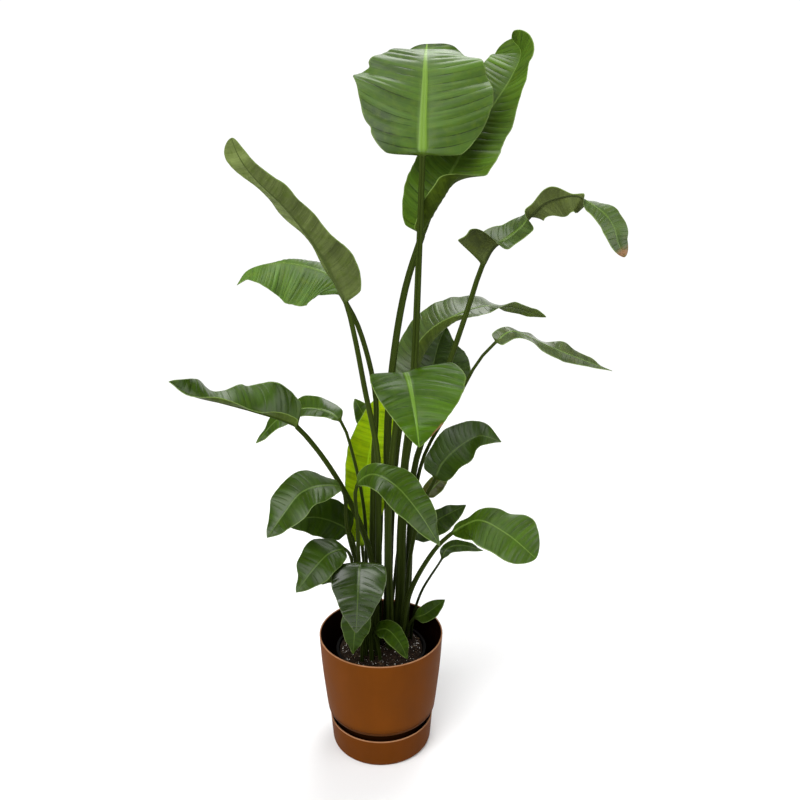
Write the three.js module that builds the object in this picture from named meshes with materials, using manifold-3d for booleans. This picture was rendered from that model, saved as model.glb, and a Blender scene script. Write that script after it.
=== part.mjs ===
import * as THREE from "three";
import Module from "manifold-3d";

// A potted bird of paradise: a planter standing in a reservoir dish, a nursery pot
// of soil inside it, and leaves that each rise from the soil on one long stalk.
// Millimetres, +Z up, the planter's axis on the Z axis and the floor at z = 0.

const wasm = await Module();
wasm.setup();

// ---- driving dimensions -------------------------------------------------------

const ROUND_SEGMENTS = 44;
const GAP = 0.4;

const planter = {
  rimRadius: 122.5,
  height: 241,
  wall: 2.5,
  shoulderRadius: 108.8,
  shoulderZ: 80,
  undersideZ: 65,
  neckRadius: 90,
  floorThickness: 3,
};

const dish = {
  rimRadius: 104,
  baseRadius: 99.5,
  height: 60.6,
  wall: 2.6,
  floorThickness: 3,
  edgeRound: 5,
};

const nurseryPot = {
  rimRadius: 90,
  bodyRadius: 86,
  baseRadius: 70,
  wall: 1.2,
  height: 200,
  lipDepth: 6,
};

const soil = {
  edgeZ: 203,
  crownZ: 210,
  holeDepth: 42,
};

// Thickness of a blade at its margin and beside its midrib, and how much of the
// half width the midrib takes.
const blade = {
  marginThickness: 0.9,
  bodyThickness: 1.3,
  ribShare: 0.09,
  tipHalfWidth: 1.5,
};

// Stations along a blade and along the free stalk below it.
const BLADE_STATIONS = [0, 0.05, 0.12, 0.22, 0.34, 0.47, 0.6, 0.73, 0.85, 0.95, 1];
const SMALL_BLADE_STATIONS = [0, 0.07, 0.2, 0.38, 0.58, 0.78, 0.93, 1];
const STALK_STATIONS = 6;

// ---- leaves ---------------------------------------------------------------------
// foot: where the stalk leaves the soil [x, y]
// girth, neck: stalk radius at the soil and at the blade
// stalk: points the free stalk passes through; rib: points of the midrib, base to tip
// face: direction the upper face looks, at even steps from base to tip
// half: greatest half width; widest: where it is along the blade
// shoulder, baseFall: shape of the widening; taper, tipFall: shape of the narrowing
// lobe: how far the margins reach back past the base, in half widths
// wideLeft, wideRight: share of that width that each half has, base to tip
// reach: how far the margins slant forward, in half widths, base to tip
// skew: the same, forward for the right margin and back for the left one
// foldLeft, foldRight: lift of each half at the midrib, degrees, base to tip
// curlLeft, curlRight: further bend from midrib to margin, degrees, base to tip
// wave, waves: height and number of the ripples along the margin

const LEAF_DEFAULTS = {
  widest: 0.4,
  shoulder: 2.3,
  baseFall: 0.43,
  taper: 1.9,
  tipFall: 0.9,
  lobe: 0.1,
  foldLeft: [10],
  foldRight: [10],
  curlLeft: [-10],
  curlRight: [-15],
  wave: 3,
  waves: 3,
  wideLeft: [1],
  wideRight: [1],
  reach: [0],
  skew: [0],
};

const LEAVES = {
  leaf_top_round: {
    foot: [29, 8], girth: 10.5, neck: 5,
    stalk: [[38, 4, 320], [41, 2, 450], [46, -2, 585], [60, -12, 725], [70, -20, 975]],
    rib: [[75, -15, 1145], [76, 2, 1205], [79, 22, 1261], [81, 55, 1307], [85, 110, 1336]],
    face: [[0, -1, 0.15], [0, -1, 0.3], [0, -0.9, 0.6], [0, -0.3, 1]],
    half: 110, widest: 0.45, shoulder: 2.4, baseFall: 0.45, taper: 1.9, tipFall: 0.62,
    lobe: 0.24, foldLeft: [6], foldRight: [6], curlLeft: [-14], curlRight: [-14], wave: 5,
    wideLeft: [0.95, 0.93, 1, 1.08, 0.95, 0.78, 0.8], wideRight: [1, 1.04, 1.06, 0.98, 0.98, 1.15],
  },
  leaf_top_tall: {
    foot: [10, 20], girth: 9, neck: 6,
    stalk: [[14, 18, 320], [15, 16, 500], [14, 18, 640], [24, 20, 780], [47, 25, 920]],
    rib: [[76, 25, 1013], [92, 27, 1055], [119, 36, 1108], [156, 54, 1170], [200, 80, 1232],
      [237, 110, 1286], [254, 140, 1327], [240, 167, 1353]],
    face: [[-0.6, -0.6, 0.4], [-0.55, -0.7, 0.4], [-0.4, -0.85, 0.3], [-0.5, -0.8, 0.3],
      [-0.5, -0.8, 0.3]],
    half: 72, widest: 0.36, shoulder: 2.2, baseFall: 0.45, taper: 4.5, tipFall: 0.55,
    lobe: 0.25,
    foldLeft: [40, 30, 20, 10, 5, 5, 5, 5, 5], curlLeft: [30, 0, -10, -10],
    foldRight: [30, 0, 0, -10, 0, 5, 15, 25, 35, 40, 40],
    curlRight: [100, 150, 130, 15, 0, 0, 0, 0, 0, 0, 0],
    wideLeft: [1, 1, 1, 1, 1.05, 1.2], wideRight: [1, 1, 1, 0.8, 0.7, 0.6, 0.6],
    reach: [0, 0, 0, 0.2, 0.6],
  },
  leaf_left_long: {
    foot: [-6, 7], girth: 8.5, neck: 5,
    stalk: [[-4, 4, 320], [-3, 2, 480], [-4, -6, 620], [-25, -16, 745], [-41, -22, 840]],
    rib: [[-55, -24, 902], [-71, -28, 938], [-90, -35, 978], [-116, -45, 1021], [-154, -58, 1070],
      [-181, -66, 1097], [-203, -72, 1121], [-219, -78, 1148], [-228, -80, 1174]],
    face: [[0.75, 0.1, 0.5], [0.75, 0.1, 0.55], [0.7, 0.2, 0.6], [0.6, 0.4, 0.6], [0.3, 0.8, 0.3]],
    half: 52, widest: 0.24, shoulder: 2.4, baseFall: 0.42, taper: 3.4, tipFall: 0.5,
    lobe: 0.15,
    foldLeft: [55, 55, 50, 45, 40, 10], foldRight: [0, -3, -3, 10], curlLeft: [0], curlRight: [-10],
    wideLeft: [1, 1.1, 0.68, 0.68, 0.5, 0.5], wideRight: [1, 1, 1, 0.5, 1.2],
  },
  leaf_left_pleated: {
    foot: [-14, 27], girth: 7, neck: 4.5,
    stalk: [[-17, 28, 320], [-16, 28, 450], [-12, 28, 600], [-8, 29, 720], [-38, 31, 850]],
    rib: [[-67, 31, 908], [-78, 35, 932], [-97, 42, 947], [-135, 58, 957], [-177, 76, 961],
      [-219, 92, 955], [-251, 104, 941], [-271, 110, 915]],
    face: [[-0.2, -0.85, 0.4], [0, -0.9, 0.35], [0, -0.9, 0.35], [-0.2, -0.6, 0.7],
      [-0.3, -0.3, 0.85]],
    half: 66, widest: 0.4, shoulder: 1.9, baseFall: 0.55, taper: 1.8, tipFall: 1,
    foldLeft: [-5, -10, -10, -10], foldRight: [-45], curlLeft: [-15], curlRight: [-50],
    wideLeft: [1.15, 1.17, 1.1, 0.85, 0.8],
  },
  leaf_right_arching: {
    foot: [44, 30], girth: 8.5, neck: 5,
    stalk: [[53, 30, 320], [57, 30, 450], [65, 27, 578], [79, 25, 632], [107, 20, 720],
      [160, 15, 890]],
    rib: [[182, 13, 962], [200, 8, 996], [223, 0, 1012], [243, -10, 1030], [262, -20, 1055],
      [280, -32, 1072], [300, -45, 1081], [327, -58, 1084], [350, -68, 1072], [372, -76, 1055],
      [385, -82, 1035], [392, -88, 1011], [404, -90, 989]],
    face: [[-0.8, -0.1, 0.65], [-0.7, -0.3, 0.7], [-0.35, -0.7, 0.6], [-0.2, -0.6, 0.7],
      [0, 0.6, 0.8], [0, 0.9, 0.4], [0, 0.9, 0.3], [0.3, -0.9, 0.1], [0.35, -0.9, 0.2],
      [0.35, -0.9, 0.15], [0.35, -0.9, 0.15]],
    half: 44, widest: 0.2, shoulder: 2.4, baseFall: 0.42, taper: 3.2, tipFall: 0.6,
    lobe: 0.1, wave: 2,
    foldLeft: [70, 50, 20, 10, 5, 5, 20, 60, 40, 20, 10],
    foldRight: [85, 80, 0, 5, 5, 5, 5, 5, 10, 10, 10], curlLeft: [-15], curlRight: [0],
    wideRight: [2.3, 1.5, 0.35, 0.5, 0.02, 0.42, 0.2, 0.45, 0.8, 0.9, 0.9],
    wideLeft: [1.3, 0.8, 0.5, 0.5, 0.8, 0.85, 0.38, 0.12, 0.5, 0.9, 1.2],
    reach: [0.3, 0, 0, 0, 0, 0, 0, 0, 0, 0, 0],
  },
  leaf_right_back_arching: {
    foot: [12, 43], girth: 7, neck: 4.5,
    stalk: [[16, 46, 320], [24, 56, 500], [38, 68, 640]],
    rib: [[56, 80, 718], [78, 94, 792], [126, 116, 845], [188, 138, 868],
      [250, 154, 868], [330, 176, 842]],
    face: [[-0.5, -0.7, 0.5], [-0.4, -0.5, 0.6], [-0.1, -0.3, 0.9], [0, -0.25, 0.95],
      [0, 0.5, 0.8], [0, 0.6, 0.8]],
    half: 54, widest: 0.35, shoulder: 2.2, baseFall: 0.45, taper: 2.2, tipFall: 0.8,
    foldLeft: [10], foldRight: [0, 0, -20, -20, 0, 0], curlRight: [130, 130, 0, 0], wave: 2,
    wideLeft: [1.15, 1.15, 1.1, 1, 1], wideRight: [1.1, 1.1, 0.9, 0.5, 0.7, 0.9],
  },
  leaf_back_dark: {
    foot: [30, 50], girth: 5.5, neck: 4,
    stalk: [[34, 62, 300], [38, 92, 450], [60, 130, 600]],
    rib: [[75, 150, 675], [103, 164, 744], [116, 172, 792], [131, 184, 822]],
    face: [[0.2, -0.9, 0.3], [0.2, -0.9, 0.3]],
    half: 66, widest: 0.4, shoulder: 2.4, baseFall: 0.42, taper: 2, tipFall: 1,
    foldLeft: [35], wave: 4, waves: 4, wideRight: [1.2],
  },
  leaf_right_small_drooping: {
    foot: [50, 45], girth: 5, neck: 3,
    stalk: [[56, 45, 320], [61, 42, 460], [84, 43, 596], [148, 40, 716], [182, 36, 784]],
    rib: [[211, 30, 820], [241, 36, 841], [271, 44, 831], [319, 60, 807],
      [382, 78, 779], [448, 96, 751]],
    face: [[-0.3, -0.2, 0.9], [0, 0.3, 0.9], [0.2, -0.4, 0.85], [0.2, -0.4, 0.85]],
    half: 28, widest: 0.3, shoulder: 2.2, baseFall: 0.45, taper: 1.8, tipFall: 1,
    lobe: 0.7,
    foldLeft: [35, 25, 0], foldRight: [-20, -50, -40, -20], curlLeft: [0], curlRight: [-10],
    waves: 4, wideLeft: [1, 0.5, 0.8, 1.0, 1.0, 0.8], wideRight: [1, 0.5, 0.8, 0.75, 0.7],
  },
  leaf_centre_heart: {
    foot: [18, -12], girth: 8, neck: 5,
    stalk: [[18, -20, 320], [16, -36, 500], [27, -48, 660]],
    rib: [[45, -56, 782], [50, -92, 789], [57, -138, 771], [64, -170, 736], [69, -184, 694]],
    face: [[-0.05, -0.3, 1], [-0.05, -0.5, 0.85], [0, -0.9, 0.45], [0.1, -1, 0.1]],
    half: 82, widest: 0.24, shoulder: 2.6, baseFall: 0.385, taper: 1.6, tipFall: 0.85,
    lobe: 0.25, foldLeft: [10, 5, 10], foldRight: [10, 5, 10], curlLeft: [-12],
    curlRight: [-12], wideLeft: [1.14], wideRight: [0.78], skew: [-0.25, -0.1, 0],
  },
  leaf_yellow_upright: {
    foot: [-21, 41], girth: 4.5, neck: 3.5,
    stalk: [[-29, 48, 320]],
    rib: [[-38, 58, 395], [-36, 72, 480], [-26, 86, 570], [-11, 94, 645], [5, 98, 705]],
    face: [[0.1, -1, 0.1], [0.1, -1, 0.1]],
    half: 54, widest: 0.6, shoulder: 1.9, baseFall: 0.53, taper: 1.9, tipFall: 0.8,
    lobe: 0,
    foldLeft: [12], foldRight: [12], curlLeft: [8], curlRight: [8], wave: 2,
    wideLeft: [0.85],
  },
  leaf_far_left: {
    foot: [-10, -12], girth: 7, neck: 4.5,
    stalk: [[-9, -12, 300], [-21, -14, 425], [-76, -22, 570]],
    rib: [[-145, -50, 684], [-165, -60, 700], [-212, -84, 724], [-262, -110, 747],
      [-309, -134, 768], [-338, -150, 795]],
    face: [[0.1, -0.7, 0.65], [0.05, -0.7, 0.65], [0, -0.7, 0.6], [0, -0.7, 0.6]],
    half: 48, widest: 0.24, shoulder: 2.4, baseFall: 0.42, taper: 2.2, tipFall: 0.75,
    lobe: 0.3,
    foldLeft: [85, 72, 70, 72], foldRight: [5, 25, 0, -25, 5, 20], curlLeft: [10],
    curlRight: [-20], wave: 5, waves: 2,
    wideLeft: [0.5, 0.45, 0.45, 0.6], wideRight: [1.2, 1.3, 1.08, 0.74, 1.3, 1.1],
  },
  leaf_left_back: {
    foot: [-31, 27], girth: 4, neck: 3,
    stalk: [[-30, 31, 320], [-32, 38, 480], [-55, 42, 608]],
    rib: [[-74, 44, 664], [-101, 54, 682], [-145, 70, 684], [-199, 90, 657], [-250, 104, 600]],
    face: [[0.1, -0.6, 0.8], [0, -0.7, 0.7], [-0.3, -0.6, 0.7], [-0.6, -0.6, 0.4]],
    half: 28, widest: 0.3, shoulder: 2.4, baseFall: 0.42, taper: 2.2, tipFall: 0.9,
    lobe: 0.2,
    foldLeft: [-5], foldRight: [0], curlRight: [-10], wideLeft: [0.5, 0.6, 0.9, 1],
  },
  leaf_back_grey: {
    foot: [-6, 56], girth: 4, neck: 3,
    stalk: [[-6, 70, 300], [0, 98, 490]],
    rib: [[-14, 106, 590], [-27, 110, 640], [-52, 114, 690]],
    face: [[0.1, -0.8, 0.4], [0.1, -0.8, 0.4]],
    half: 21, widest: 0.5, shoulder: 2, baseFall: 0.5, taper: 2, tipFall: 0.8, lobe: 0,
    foldLeft: [15], curlLeft: [0], curlRight: [0], wave: 1,
  },
  leaf_left_middle: {
    foot: [-24, -13], girth: 4.5, neck: 3.5,
    stalk: [[-30, -24, 300], [-42, -38, 395], [-60, -54, 490]],
    rib: [[-66, -68, 572], [-95, -90, 589], [-134, -112, 585], [-164, -126, 551],
      [-194, -134, 509]],
    face: [[0, -0.4, 0.9], [-0.2, -0.6, 0.75], [-0.4, -0.75, 0.5], [-0.5, -0.8, 0.3]],
    half: 42, widest: 0.5, shoulder: 2, baseFall: 0.8, taper: 1.9, tipFall: 0.95,
  },
  leaf_front_centre: {
    foot: [-7, -33], girth: 4.5, neck: 3.5,
    stalk: [[-18, -44, 300], [-37, -55, 400], [-40, -60, 500]],
    rib: [[-40, -66, 578], [-12, -80, 606], [28, -106, 597], [68, -128, 558], [107, -142, 498]],
    face: [[0.1, -0.4, 0.9], [0.3, -0.6, 0.75], [0.5, -0.75, 0.4], [0.5, -0.8, 0.3]],
    half: 38, widest: 0.45, shoulder: 2, baseFall: 0.75, taper: 1.9, tipFall: 0.95,
  },
  leaf_left_under: {
    foot: [-33, 10], girth: 4, neck: 3,
    stalk: [[-38, 4, 300], [-46, -2, 380]],
    rib: [[-57, -9, 458], [-85, -14, 482], [-126, -22, 497], [-180, -28, 487]],
    face: [[0, -0.7, 0.7], [-0.1, -0.7, 0.7], [-0.2, -0.7, 0.6]],
    half: 37, widest: 0.42, shoulder: 2.2, baseFall: 0.45, taper: 2, tipFall: 0.9,
    foldLeft: [5], foldRight: [5], wideRight: [1.3, 1.15, 1],
  },
  leaf_left_lower: {
    foot: [-29, -34], girth: 4, neck: 3,
    stalk: [[-34, -43, 290], [-45, -57, 365]],
    rib: [[-60, -74, 455], [-90, -98, 460], [-114, -116, 443], [-148, -128, 399]],
    face: [[-0.1, -0.5, 0.85], [-0.4, -0.75, 0.6], [-0.55, -0.8, 0.3]],
    half: 37, widest: 0.42, shoulder: 2, baseFall: 0.6, taper: 1.9, tipFall: 0.95,
    foldLeft: [5], foldRight: [5], wideRight: [1.3, 1.2, 1],
  },
  leaf_left_small_back: {
    foot: [-44, 18], girth: 3, neck: 2.5,
    stalk: [[-64, 24, 296]],
    rib: [[-96, 25, 334], [-118, 25, 352], [-137, 25, 373]],
    face: [[0, -0.8, 0.6], [0, -0.8, 0.6]],
    half: 18, widest: 0.5, shoulder: 2, baseFall: 0.5, taper: 2, tipFall: 0.8, lobe: 0,
    foldLeft: [5], foldRight: [5], curlLeft: [0], curlRight: [0], wave: 1,
  },
  leaf_front_heart: {
    foot: [-17, -50], girth: 4.5, neck: 3.5,
    stalk: [[-20, -60, 290], [-27, -75, 355]],
    rib: [[-35, -92, 438], [-35, -109, 438], [-37, -130, 402], [-41, -143, 326]],
    face: [[0, -0.5, 0.85], [0, -0.8, 0.6], [0, -0.95, 0.3], [0, -1, 0.2]],
    half: 50, widest: 0.2, shoulder: 2.4, baseFall: 0.42, taper: 1.5, tipFall: 0.85,
    lobe: 0.3,
    curlLeft: [-15], wave: 2,
  },
  leaf_front_under_heart: {
    foot: [-36, -52], girth: 3.5, neck: 3,
    stalk: [[-35, -62, 280]],
    rib: [[-37, -74, 330], [-40, -86, 333], [-46, -94, 300], [-51, -90, 247]],
    face: [[0, -0.6, 0.8], [0, -0.9, 0.4], [0, -1, 0.2]],
    half: 28, widest: 0.3, shoulder: 2.3, baseFall: 0.43, taper: 1.4, tipFall: 1,
    curlLeft: [-15], wave: 2,
  },
  leaf_front_low: {
    foot: [-1, -50], girth: 3.5, neck: 2.5,
    stalk: [[-5, -52, 245]],
    rib: [[-10, -57, 271], [12, -70, 288], [36, -84, 270], [52, -91, 237]],
    face: [[0.1, -0.5, 0.85], [0.3, -0.7, 0.6], [0.5, -0.8, 0.3]],
    half: 20, widest: 0.42, shoulder: 2.2, baseFall: 0.45, taper: 1.9, tipFall: 0.9,
    curlLeft: [-15], wave: 2,
  },
  leaf_right_low_small: {
    foot: [49, -3], girth: 3, neck: 2.5,
    stalk: [[53, 2, 238]],
    rib: [[64, 10, 261], [88, 18, 267], [129, 30, 293]],
    face: [[-0.3, -0.7, 0.6], [-0.3, -0.7, 0.6]],
    half: 18, widest: 0.45, shoulder: 2.2, baseFall: 0.45, taper: 1.9, tipFall: 0.95,
    curlLeft: [-5], curlRight: [-5], wave: 1,
  },
  leaf_right_low_thin: {
    foot: [60, 26], girth: 3.2, neck: 2.2,
    stalk: [[66, 31, 260], [82, 36, 310]],
    rib: [[120, 40, 376], [132, 44, 399], [161, 52, 402], [206, 60, 386]],
    face: [[-0.2, -0.5, 0.85], [0, -0.6, 0.8], [0.1, -0.6, 0.8]],
    half: 13, widest: 0.4, shoulder: 2.2, baseFall: 0.45, taper: 1.9, tipFall: 0.95,
    foldLeft: [0], foldRight: [-10], curlLeft: [0], curlRight: [-10], wave: 2,
  },
  leaf_right_low_broad: {
    foot: [40, -14], girth: 6.5, neck: 4,
    stalk: [[48, -16, 295], [62, -18, 350], [104, -22, 430]],
    rib: [[132, -30, 465], [158, -42, 490], [185, -60, 508], [231, -88, 494], [281, -112, 458]],
    face: [[-0.3, -0.4, 0.9], [0, -0.6, 0.8], [0.3, -0.75, 0.6], [0.4, -0.8, 0.4]],
    half: 44, widest: 0.6, shoulder: 1.9, baseFall: 0.9, taper: 3, tipFall: 0.62,
    foldLeft: [8], foldRight: [8], curlRight: [-12],
    wideLeft: [0.9, 0.52, 0.85, 1.25, 1.1], wideRight: [1.3, 1.25, 1.1, 1],
  },
  leaf_right_low_back: {
    foot: [37, 66], girth: 4, neck: 3,
    stalk: [[44, 70, 300]],
    rib: [[62, 75, 402], [112, 88, 439], [173, 102, 468]],
    face: [[-0.2, -0.7, 0.7], [-0.2, -0.7, 0.7]],
    half: 32, widest: 0.45, shoulder: 2.2, baseFall: 0.45, taper: 1.9, tipFall: 0.9,
    wideLeft: [0.7], foldLeft: [8], foldRight: [8], curlRight: [-10], wave: 2,
  },
  leaf_right_middle: {
    foot: [46, 8], girth: 5, neck: 3.5,
    stalk: [[50, 9, 300], [58, 11, 400], [84, 13, 515]],
    rib: [[104, 10, 560], [115, 4, 592], [145, -6, 630], [184, -20, 658], [222, -34, 651]],
    face: [[-0.2, -0.75, 0.6], [-0.1, -0.8, 0.5], [0.1, -0.75, 0.6]],
    half: 38, widest: 0.42, shoulder: 2.3, baseFall: 0.43, taper: 1.8, tipFall: 0.95,
    lobe: 0.2,
    wideLeft: [1, 1.1, 1.15], foldLeft: [8], foldRight: [8], curlRight: [15],
  },
  leaf_right_small_olive: {
    foot: [12, 62], girth: 3.5, neck: 2.5,
    stalk: [[22, 76, 265], [42, 110, 404]],
    rib: [[86, 112, 478], [110, 118, 504], [136, 126, 526]],
    face: [[0, -0.8, 0.4], [0, -0.8, 0.4]],
    half: 18, widest: 0.5, shoulder: 2.2, baseFall: 0.45, taper: 1.9, tipFall: 0.8,
    foldLeft: [8], foldRight: [8], curlLeft: [0], curlRight: [0], wave: 2,
  },
};

// ---- small helpers ----------------------------------------------------------------

const toVector = (p) => new THREE.Vector3(p[0], p[1], p[2]);
const radians = (degrees) => (degrees * Math.PI) / 180;

// Smooth value between evenly spaced knots; works for numbers and for vectors.
function ramp(knots, u) {
  if (knots.length === 1) return knots[0];
  const place = Math.min(Math.max(u, 0), 1) * (knots.length - 1);
  const i = Math.min(Math.floor(place), knots.length - 2);
  const t = place - i;
  const s = t * t * (3 - 2 * t);
  const [a, b] = [knots[i], knots[i + 1]];
  if (typeof a === "number") return a * (1 - s) + b * s;
  return a.map((value, k) => value * (1 - s) + b[k] * s);
}

// ---- leaf surface -----------------------------------------------------------------

// The stalk and the midrib are one smooth curve; the blade starts at the rib's first point.
function leafCurve(leaf) {
  const [x, y] = leaf.foot;
  const points = [[x, y, soil.edgeZ - 16], [x, y, soil.crownZ + 4], ...leaf.stalk, ...leaf.rib];
  const curve = new THREE.CatmullRomCurve3(points.map(toVector), false, "centripetal");
  const spans = points.length - 1;
  const bladeStart = (2 + leaf.stalk.length) / spans;
  return { curve, stalkStart: 1 / spans, bladeStart };
}

// Points at even lengths along one stretch of the curve, with their directions.
function lengthSampler(curve, from, to) {
  const steps = 200;
  const points = [];
  for (let i = 0; i <= steps; i++) points.push(curve.getPoint(from + ((to - from) * i) / steps));
  const lengths = [0];
  for (let i = 1; i <= steps; i++) lengths.push(lengths[i - 1] + points[i].distanceTo(points[i - 1]));
  const at = (u) => {
    const wanted = Math.min(Math.max(u, 0), 1) * lengths[steps];
    let i = lengths.findIndex((length) => length >= wanted);
    if (i < 1) i = 1;
    const t = (wanted - lengths[i - 1]) / (lengths[i] - lengths[i - 1]);
    return points[i - 1].clone().lerp(points[i], t);
  };
  const along = (u) => at(Math.min(u + 0.004, 1)).sub(at(Math.max(u - 0.004, 0))).normalize();
  return { at, along, total: lengths[steps] };
}

// Half width at u: it swells from the base to the widest place, then narrows to the tip.
function halfWidth(leaf, u) {
  const { half, widest, shoulder, baseFall, taper, tipFall } = leaf;
  if (u < widest) return half * (1 - ((widest - u) / widest) ** shoulder) ** baseFall;
  return half * (1 - ((u - widest) / (1 - widest)) ** taper) ** tipFall;
}

// Upper-face direction at right angles to the curve, and the direction of the right half.
function frameAt(direction, face) {
  const up = toVector(face);
  up.addScaledVector(direction, -up.dot(direction)).normalize();
  const side = new THREE.Vector3().crossVectors(direction, up);
  return { up, side };
}

// A point of the blade's middle surface and its normal; v runs -1 to 1 across the blade.
// Each half is an arc: it leaves the midrib at the fold angle and bends by the curl angle.
function bladePoint(leaf, sampler, u, v) {
  const centre = sampler.at(u);
  const direction = sampler.along(u);
  const { up, side } = frameAt(direction, ramp(leaf.face, u));
  const right = v >= 0;
  const sign = right ? 1 : -1;
  const t = Math.abs(v);
  const fold = radians(ramp(right ? leaf.foldRight : leaf.foldLeft, u));
  let curl = radians(ramp(right ? leaf.curlRight : leaf.curlLeft, u));
  if (Math.abs(curl) < 0.001) curl = 0.001;
  const stalkHalf = leaf.neck * Math.max(0, 1 - u / 0.1);
  const share = ramp(right ? leaf.wideRight : leaf.wideLeft, u);
  const width = Math.max(halfWidth(leaf, u) * share, stalkHalf, blade.tipHalfWidth);
  const across = (width / curl) * (Math.sin(fold + curl * t) - Math.sin(fold));
  const lift = (width / curl) * (Math.cos(fold) - Math.cos(fold + curl * t));
  const nearBase = Math.max(0, 1 - u / leaf.widest);
  const back = -leaf.lobe * width * nearBase ** 2 * t ** 1.5;
  const sweep = 0.25 * width * t * (1 - u) * Math.min(1, u / leaf.widest);
  const slant = ramp(leaf.reach, u) + (right ? 1 : -1) * ramp(leaf.skew, u);
  const forward = width * t * slant;
  const turn = 2 * Math.PI * leaf.waves * u + (right ? 1.3 : 0);
  const ripple = leaf.wave * t * t * Math.sin(turn) * Math.min(1, width / (0.35 * leaf.half));
  const angle = fold + curl * t;
  const normal = up.clone().multiplyScalar(Math.cos(angle));
  normal.addScaledVector(side, -sign * Math.sin(angle));
  const point = centre.addScaledVector(side, sign * across).addScaledVector(up, lift);
  point.addScaledVector(direction, back + sweep + forward).addScaledVector(normal, ripple);
  return { point, normal };
}

// ---- leaf solid -------------------------------------------------------------------

// Columns across the section, and the angle each one takes round the stalk.
const COLUMNS = [-1, -0.5, -blade.ribShare, blade.ribShare, 0.5, 1];
const STALK_ANGLES = [165, 135, 105, 75, 45, 15];

// One ring of the stalk: upper points left to right, then the lower points below them.
function stalkRing(centre, direction, face, radius) {
  const { up, side } = frameAt(direction, face);
  const place = (degrees) => {
    const angle = radians(degrees);
    const point = centre.clone().addScaledVector(side, radius * Math.cos(angle));
    return point.addScaledVector(up, radius * Math.sin(angle));
  };
  return { top: STALK_ANGLES.map(place), bottom: STALK_ANGLES.map((a) => place(-a)) };
}

// One ring of the blade; beside the midrib it is as thick as the stalk that runs out in it.
function bladeRing(leaf, sampler, u) {
  const top = [];
  const bottom = [];
  for (const v of COLUMNS) {
    const { point, normal } = bladePoint(leaf, sampler, u, v);
    const atRib = Math.abs(v) <= blade.ribShare;
    const keel = atRib ? leaf.neck * 1.1 * (1 - u) ** 1.3 : 0;
    const thickness = Math.abs(v) === 1 ? blade.marginThickness : blade.bodyThickness;
    top.push(point.clone().addScaledVector(normal, thickness / 2));
    bottom.push(point.clone().addScaledVector(normal, -thickness / 2 - keel));
  }
  return { top, bottom };
}

// Rings joined in order, closed at both ends. Quads split alike on both faces.
function loftRings(rings) {
  const columns = COLUMNS.length;
  const positions = [];
  for (const ring of rings) {
    for (const p of [...ring.top, ...ring.bottom]) positions.push(p.x, p.y, p.z);
  }
  const at = (ring, column, lower) => ring * 2 * columns + column + (lower ? columns : 0);
  const faces = [];
  for (let i = 0; i + 1 < rings.length; i++) {
    for (let j = 0; j + 1 < columns; j++) {
      const [a, b, c, d] = [at(i, j, 0), at(i, j + 1, 0), at(i + 1, j + 1, 0), at(i + 1, j, 0)];
      const [e, f, g, h] = [at(i, j, 1), at(i, j + 1, 1), at(i + 1, j + 1, 1), at(i + 1, j, 1)];
      faces.push(a, b, c, a, c, d);
      faces.push(e, g, f, e, h, g);
    }
    for (const j of [0, columns - 1]) {
      const quad = [at(i, j, 0), at(i + 1, j, 0), at(i + 1, j, 1), at(i, j, 1)];
      const [a, b, c, d] = j === 0 ? quad : quad.reverse();
      faces.push(a, b, c, a, c, d);
    }
  }
  for (const i of [0, rings.length - 1]) {
    for (let j = 0; j + 1 < columns; j++) {
      const quad = [at(i, j, 0), at(i, j, 1), at(i, j + 1, 1), at(i, j + 1, 0)];
      const [a, b, c, d] = i === 0 ? quad : quad.reverse();
      faces.push(a, b, c, a, c, d);
    }
  }
  const geometry = new THREE.BufferGeometry();
  geometry.setAttribute("position", new THREE.Float32BufferAttribute(positions, 3));
  geometry.setIndex(faces);
  return geometry;
}

// A leaf grown as one piece: a straight foot in the soil, a free stalk and the blade.
function leafGeometry(leaf) {
  const { curve, stalkStart, bladeStart } = leafCurve(leaf);
  const stalk = lengthSampler(curve, stalkStart, bladeStart);
  const rib = lengthSampler(curve, bladeStart, 1);
  const face = leaf.face[0];
  const upright = new THREE.Vector3(0, 0, 1);
  const [x, y] = leaf.foot;
  const footZ = soil.crownZ - soil.holeDepth + GAP;
  const rings = [stalkRing(new THREE.Vector3(x, y, footZ), upright, face, leaf.girth)];
  rings.push(stalkRing(new THREE.Vector3(x, y, soil.crownZ + 4), upright, face, leaf.girth));
  for (let i = 1; i < STALK_STATIONS; i++) {
    const u = i / STALK_STATIONS;
    const radius = leaf.neck + (leaf.girth - leaf.neck) * (1 - u) ** 1.3;
    rings.push(stalkRing(stalk.at(u), stalk.along(u), face, radius));
  }
  const stations = leaf.half < 34 ? SMALL_BLADE_STATIONS : BLADE_STATIONS;
  for (const u of stations) rings.push(bladeRing(leaf, rib, u));
  return loftRings(rings);
}

// ---- pots and soil ----------------------------------------------------------------

// A solid of revolution about the vertical axis from [radius, z] points that run
// up the outside and down the inside.
function turned(points, segments = ROUND_SEGMENTS) {
  const profile = points.map(([radius, z]) => new THREE.Vector2(radius, z));
  const geometry = new THREE.LatheGeometry(profile, segments);
  geometry.rotateX(Math.PI / 2);
  return geometry;
}

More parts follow.
